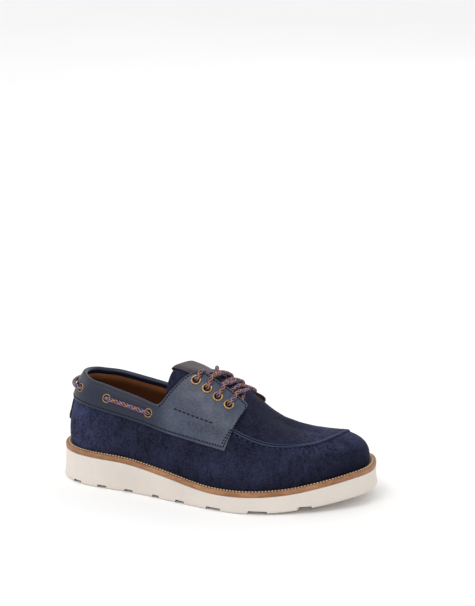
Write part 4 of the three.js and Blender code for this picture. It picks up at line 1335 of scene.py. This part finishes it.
def make_eyelet(name, seat, direction, flange):
    """A rolled ring with a tube through the leather."""
    middle, half = (flange + EYELET_HOLE) / 2, (flange - EYELET_HOLE) / 2
    profile = [(flange - 0.1, 0.05), (flange, 0.35)]
    for angle in np.radians(np.linspace(20, 165, 9)):
        profile.append((middle + half * math.cos(angle), 0.35 + EYELET_LIP * math.sin(angle)))
    tube, outside = EYELET_HOLE - 0.05, EYELET_HOLE + 0.4
    profile += [(EYELET_HOLE, 0.3), (tube, -0.4), (tube, -2.3), (outside, -2.3), (outside, 0.0)]
    helper = np.array([1.0, 0, 0]) if abs(direction[0]) < 0.9 else np.array([0, 1.0, 0])
    side = unit(np.cross(direction, helper))
    other = np.cross(direction, side)
    angles = 2 * math.pi * np.arange(EYELET_STEPS)[:, None] / EYELET_STEPS
    spokes = np.cos(angles) * side + np.sin(angles) * other
    rings = [seat + direction * height + spokes * radius for radius, height in profile]
    faces = ring_faces(len(profile), EYELET_STEPS, True)
    mesh_piece(f"{name}_ring", np.concatenate(rings), faces, brass, "eyelets", [name])


# ---------------------------------------------------------------- tongue and label
lateral_reach, medial_reach, tongue_middle, tongue_side = (
    open_curve(TONGUE[:, 0], TONGUE[:, k]) for k in (1, 2, 3, 4))


def tongue_height(x, y):
    """Height of the tongue's outer face, arched across."""
    reach = np.where(y < 0, lateral_reach(x), medial_reach(x))
    middle = tongue_middle(x) - TONGUE_DROP * smooth(140, 122, x)
    arch = TONGUE_ARCH + TONGUE_FLAT * smooth(150, 120, x)
    return middle - (middle - tongue_side(x)) * np.abs(y / reach) ** arch


def tongue_point(x, y, depth):
    """A point of the tongue's outer face, moved into the shoe by depth."""
    x, y, depth = np.broadcast_arrays(*(np.asarray(v, float) for v in (x, y, depth)))
    step = 0.3
    slope_x = (tongue_height(x + step, y) - tongue_height(x - step, y)) / (2 * step)
    slope_y = (tongue_height(x, y + step) - tongue_height(x, y - step)) / (2 * step)
    up = unit(np.stack([-slope_x, -slope_y, np.ones_like(x)], -1))
    return np.stack([x, y, tongue_height(x, y)], -1) - up * depth[..., None]


def make_tongue():
    start, end = TONGUE_START, TONGUE[-1, 0]
    share = 1 - 2 * spread(70, 0.03)[:, None]
    along = spread(90, 0.02)[None, :]
    straight = start + (end - start) * along + 0 * share
    y = share * np.where(share < 0, lateral_reach(straight), medial_reach(straight))
    x = straight + TONGUE_SKEW * y * (1 - along) - TONGUE_CORNER * smooth(-0.5, -1.0, share) * (1 - along)
    outer = tongue_point(x, y, 0.0)
    waves = soft_waves(outer, *TONGUE_WAVES)
    outer = tongue_point(x, y, -waves * smooth(0, 6, edge_distance(outer)))
    inner = tongue_point(x, y, TONGUE_THICKNESS)
    sheet_piece("suede_tongue", outer, inner, suede, "suede", rim=1.3, replaces=["tongue"])


def make_label():
    """A strip folded over the tongue's top edge."""
    middle = TONGUE_THICKNESS / 2

    def fold(gap):
        """Distances from the tongue's edge and into the shoe, from the front end to the back one."""
        flat = np.linspace(LABEL_LENGTH, 0.6, 26)
        rows = [(x, -gap) for x in flat]
        for angle in np.radians(np.linspace(90, -90, 13)):
            beyond = 0.4 - (gap + LABEL_LOOP) * math.cos(angle)
            rows.append((beyond, middle - (middle + gap) * math.sin(angle)))
        rows += [(x, TONGUE_THICKNESS + gap) for x in flat[::-1]]
        return np.array(rows)

    y = LABEL_HALF_WIDTH * (2 * spread(40, 0.03) - 1)[:, None]

    def grid(gap):
        forward, depth = fold(gap).T
        return tongue_point(TONGUE_START + forward + TONGUE_SKEW * y, y, depth)

    outer, inner = grid(LABEL_GAP + LABEL_THICKNESS), grid(LABEL_GAP)
    sheet_piece("folded_label", outer, inner, label_leather, "label", rim=0.5, replaces=["tongue_label"])


# ---------------------------------------------------------------- laces
LACE_AROUND = 48
LACE_STEP = 0.34
YARN_HEIGHT = 0.14  # on the average, so that the lace keeps its radius


def braid_relief(u, v):
    """Height of the yarns over the lace's core, for the two ways round."""
    right, left = u + v, u - v
    over_right = (np.floor(right) + np.floor(left)) % 2 < 1
    across = np.where(over_right, right, left)
    lengthwise = np.where(over_right, left, right)
    crown_of = np.sin(math.pi * (across - np.floor(across)))
    arch = np.sin(math.pi * (lengthwise - np.floor(lengthwise)))
    return 0.26 * np.sqrt(np.clip(crown_of, 0, 1)) * (0.5 + 0.5 * arch)


def weave_place(around, along):
    """The weave map's u and v at that step round the lace and along it."""
    return around / LACE_AROUND * YARNS, along * LACE_STEP / BRAID_LAY * YARNS


def make_lace(name, points, replaces):
    """A braided round lace through the points."""
    line = even(catmull(points, 40 * len(points)), LACE_STEP)
    side, other = frames(line, (0.0, 1.0, 0.2))
    around, along = np.meshgrid(np.arange(LACE_AROUND), np.arange(len(line)))
    u, v = weave_place(around, along)
    radius = LACE_RADIUS + braid_relief(u + 1e-6, v + 1e-6) - YARN_HEIGHT
    angle = (2 * math.pi / LACE_AROUND * around)[..., None]
    spokes = np.cos(angle) * side[:, None] + np.sin(angle) * other[:, None]
    rings = line[:, None] + radius[..., None] * spokes
    corners = [weave_place(around[:-1] + da, along[:-1] + dl) for da, dl in ((0, 0), (1, 0), (1, 1), (0, 1))]
    uv = np.array(corners).transpose(2, 3, 0, 1).reshape(-1, 2)
    uv = np.vstack([uv, np.full((2 * LACE_AROUND, 2), 0.5)])
    mesh_piece(name, rings.reshape(-1, 3), rod_faces(*rings.shape[:2]), braid, "lace", replaces, uv=uv)


def above(seat, distance):
    """A place on an eyelet's axis."""
    return seat[0] + seat[1] * distance


def on_leather(t, u, lift):
    """The middle of a lace that lies on the leather there, lifted by so much more."""
    return surface(t, u) + outward(t, u) * (SADDLE_GAP + SADDLE_WALL + LACE_RADIUS + lift)


def over_leather(x, y, lift):
    """The same for the leather, from x and y."""
    return on_leather(*locate(1 if y > 0 else -1, x, y, axis=1), lift)


def over_tongue(x, y, lift):
    """A place for the middle of a lace that lies on the tongue, lifted by so much more."""
    return tongue_point(x, y, -(LACE_RADIUS + lift))


def out_of(seat, sense):
    """The lace comes out of the eyelet against the side of its hole that is nearer the throat."""
    away = np.array([0.12, -sense, 0.35])
    away = unit(away - seat[1] * (away @ seat[1])) * (EYELET_HOLE - LACE_RADIUS - 0.15)
    return [above(seat, -3.4) + away * 0.2, above(seat, -1.0) + away * 0.8, above(seat, 1.1) + away * 1.3]


# Strands: eyelet, how far forward they cross the edge and the middle, height on the middle,
# and how far forward they go under the other facing.
OVER_STRANDS = [(4, 2.6, 4.3, 3.3, 6.0), (3, 2.0, 3.2, 2.4, 5.0), (2, 1.2, 1.8, 3.4, 4.0)]
UNDER_STRANDS = [(4, 3.4, -4.0, 2.3, -8.5), (3, 3.4, -1.5, 2.6, -7.0), (2, 3.6, -1.5, 3.0, -8.0)]
# Distances from the middle at which a lace crosses the leather by the facing's edge.
FACING_EDGE = {"lateral": (18.5, 13.5), "medial": (21.5, 17.5)}


def lace_out_of(key, side_name, name, replaces, route):
    """A lace from a facing's eyelet. The route says over what, and how far forward, across and up."""
    seat, sense = seats[f"facing_eyelet_{side_name}_{key}"], SIDES[side_name]
    points = out_of(seat, sense)
    points += [over(seat[0][0] + ahead, sense * across, lift) for over, ahead, across, lift in route]
    make_lace(name, points, replaces)


def make_strand(side_name, strand, name, replaces=()):
    """Out of an eyelet, over the facing's edge, across the tongue, and under the other facing."""
    key, at_edge, at_middle, height, at_end = strand
    low, high = FACING_EDGE[side_name]
    lace_out_of(key, side_name, name, replaces, [
        (over_leather, at_edge * 0.7, low, 0.2),
        (over_leather, at_edge, high, 0.0),
        (over_tongue, at_middle, 4.0, height),
        (over_tongue, (at_middle + at_end) / 2, -6.0, 1.6),
        (over_tongue, at_end, -13.0, 0.2),
        (over_tongue, at_end, -17.0, -0.6),
    ])


def collar_lace(name, replaces, start, goal, above_ends, middle):
    """A lace out of one collar eyelet and into another."""
    start, goal = seats[f"collar_eyelet_{start}"], seats[f"collar_eyelet_{goal}"]
    points = [above(start, -2.6), above(start, above_ends)] + middle
    make_lace(name, points + [above(goal, above_ends), above(goal, -2.6)], [replaces])


def make_laces():
    for strand in OVER_STRANDS:
        make_strand("lateral", strand, f"lace_over_{5 - strand[0]}", [f"lace_crossing_{5 - strand[0]}"])
    for strand in UNDER_STRANDS:
        make_strand("medial", strand, f"lace_under_{5 - strand[0]}")
    x = seats["facing_eyelet_lateral_4"][0][0] + 6.5
    bar = [over_tongue(x, y, 0.1) for y in (-15, -8, 0, 8, 15)]
    make_lace("lace_lowest_bar", bar, ["lace_bar"])
    for side_name in SIDES:
        low, high = FACING_EDGE[side_name]
        lace_out_of(1, side_name, f"lace_top_{side_name}", [f"lace_end_{side_name}"], [
            (over_leather, 1.2, low - 1.0, 0.4),
            (over_leather, 2.6, high - 0.8, 0.0),
            (over_tongue, 4.5, high - 6.0, 0.2),
            (over_tongue, 6.0, high - 10.0, -2.6),
        ])
    start, goal = np.array(COLLAR_EYELETS["middle"]), np.array(COLLAR_EYELETS["front"])
    for side_name, sense in SIDES.items():
        middle = [on_leather(*locate(sense, *(start + (goal - start) * share)), lift)
                  for share, lift in ((0.14, 1.0), (0.38, 0.7), (0.64, 0.9), (0.86, 1.0))]
        collar_lace(f"lace_collar_{side_name}", f"collar_lace_{side_name}",
                    f"{side_name}_middle", f"{side_name}_front", 0.6, middle)
    t, u = locate(-1, *COLLAR_EYELETS["rear"])
    middle = [on_leather(t * share, u, 1.6) for share in (-0.78, -0.4, 0.0, 0.4, 0.78)]
    collar_lace("lace_collar_heel", "collar_lace_heel", "medial_rear", "lateral_rear", 1.5, middle)


# ---------------------------------------------------------------- the shoe
make_outsole()
make_welt()
make_insole()
make_upper()
make_lining()
make_saddle()
make_collar_roll()
make_backstay()
make_saddle_stitching()
make_tacking()
make_welt_stitching()
for seat_name, (seat_point, seat_direction) in seats.items():
    flange = FACING_FLANGE if "facing" in seat_name else COLLAR_FLANGE
    make_eyelet(seat_name, seat_point, seat_direction, flange)
make_tongue()
make_label()
make_laces()


# ---------------------------------------------------------------- floor, lights and camera
FLOOR_SIZE = 24.0


def make_floor():
    half = FLOOR_SIZE / 2
    corners = [(-half, -half, 0), (half, -half, 0), (half, half, 0), (-half, half, 0)]
    floor = new_object("floor", corners, [(0, 1, 2, 3)])
    floor.data.materials.append(floor_finish())


def aim_at(thing, target):
    """Turns a lamp or the camera towards a place."""
    thing.rotation_euler = (target - thing.location).to_track_quat("-Z", "Y").to_euler()
    bpy.context.scene.collection.objects.link(thing)


def area_light(name, place, size, watts):
    data = bpy.data.lights.new(name, "AREA")
    data.shape = "RECTANGLE"
    data.size, data.size_y = size
    data.energy = watts
    lamp = bpy.data.objects.new(name, data)
    lamp.location = place
    aim_at(lamp, LIT)


# Lights: name, place, size and watts. They are aimed a little above the floor's middle.
LIGHTS = [
    ("top", (-0.35, -1.1, 2.0), (1.0, 0.8), 10),
    ("left", (-2.2, 0.2, 1.2), (1.2, 1.4), 6),
    ("behind", (0.5, 2.0, 1.0), (1.6, 1.0), 5),
]
LIT = Vector((0, 0, 0.04))
AZIMUTH = math.radians(19)
ELEVATION = math.radians(19)
DISTANCE = 2.2
AIM = Vector((0.0, 0.00562, 0.04))  # the camera is at the distance from here
LOOK_AT = Vector((0.02188, 0.0, 0.18102))  # shows in the middle of the picture
LENS, SENSOR = 139.58, 36.0


def make_camera():
    level = math.cos(ELEVATION)
    back = Vector((math.sin(AZIMUTH) * level, -math.cos(AZIMUTH) * level, math.sin(ELEVATION)))
    data = bpy.data.cameras.new("camera")
    data.sensor_width = SENSOR
    data.lens = LENS
    camera = bpy.data.objects.new("camera", data)
    camera.location = AIM + back * DISTANCE
    aim_at(camera, LOOK_AT)
    bpy.context.scene.camera = camera


make_floor()
for light in LIGHTS:
    area_light(*light)
world = bpy.data.worlds.new("studio")
world.use_nodes = True
sky = world.node_tree.nodes["Background"]
sky.inputs["Color"].default_value = (1.0, 1.0, 1.0, 1.0)
sky.inputs["Strength"].default_value = 0.95
bpy.context.scene.world = world
bpy.context.scene.view_settings.view_transform = "Standard"
make_camera()
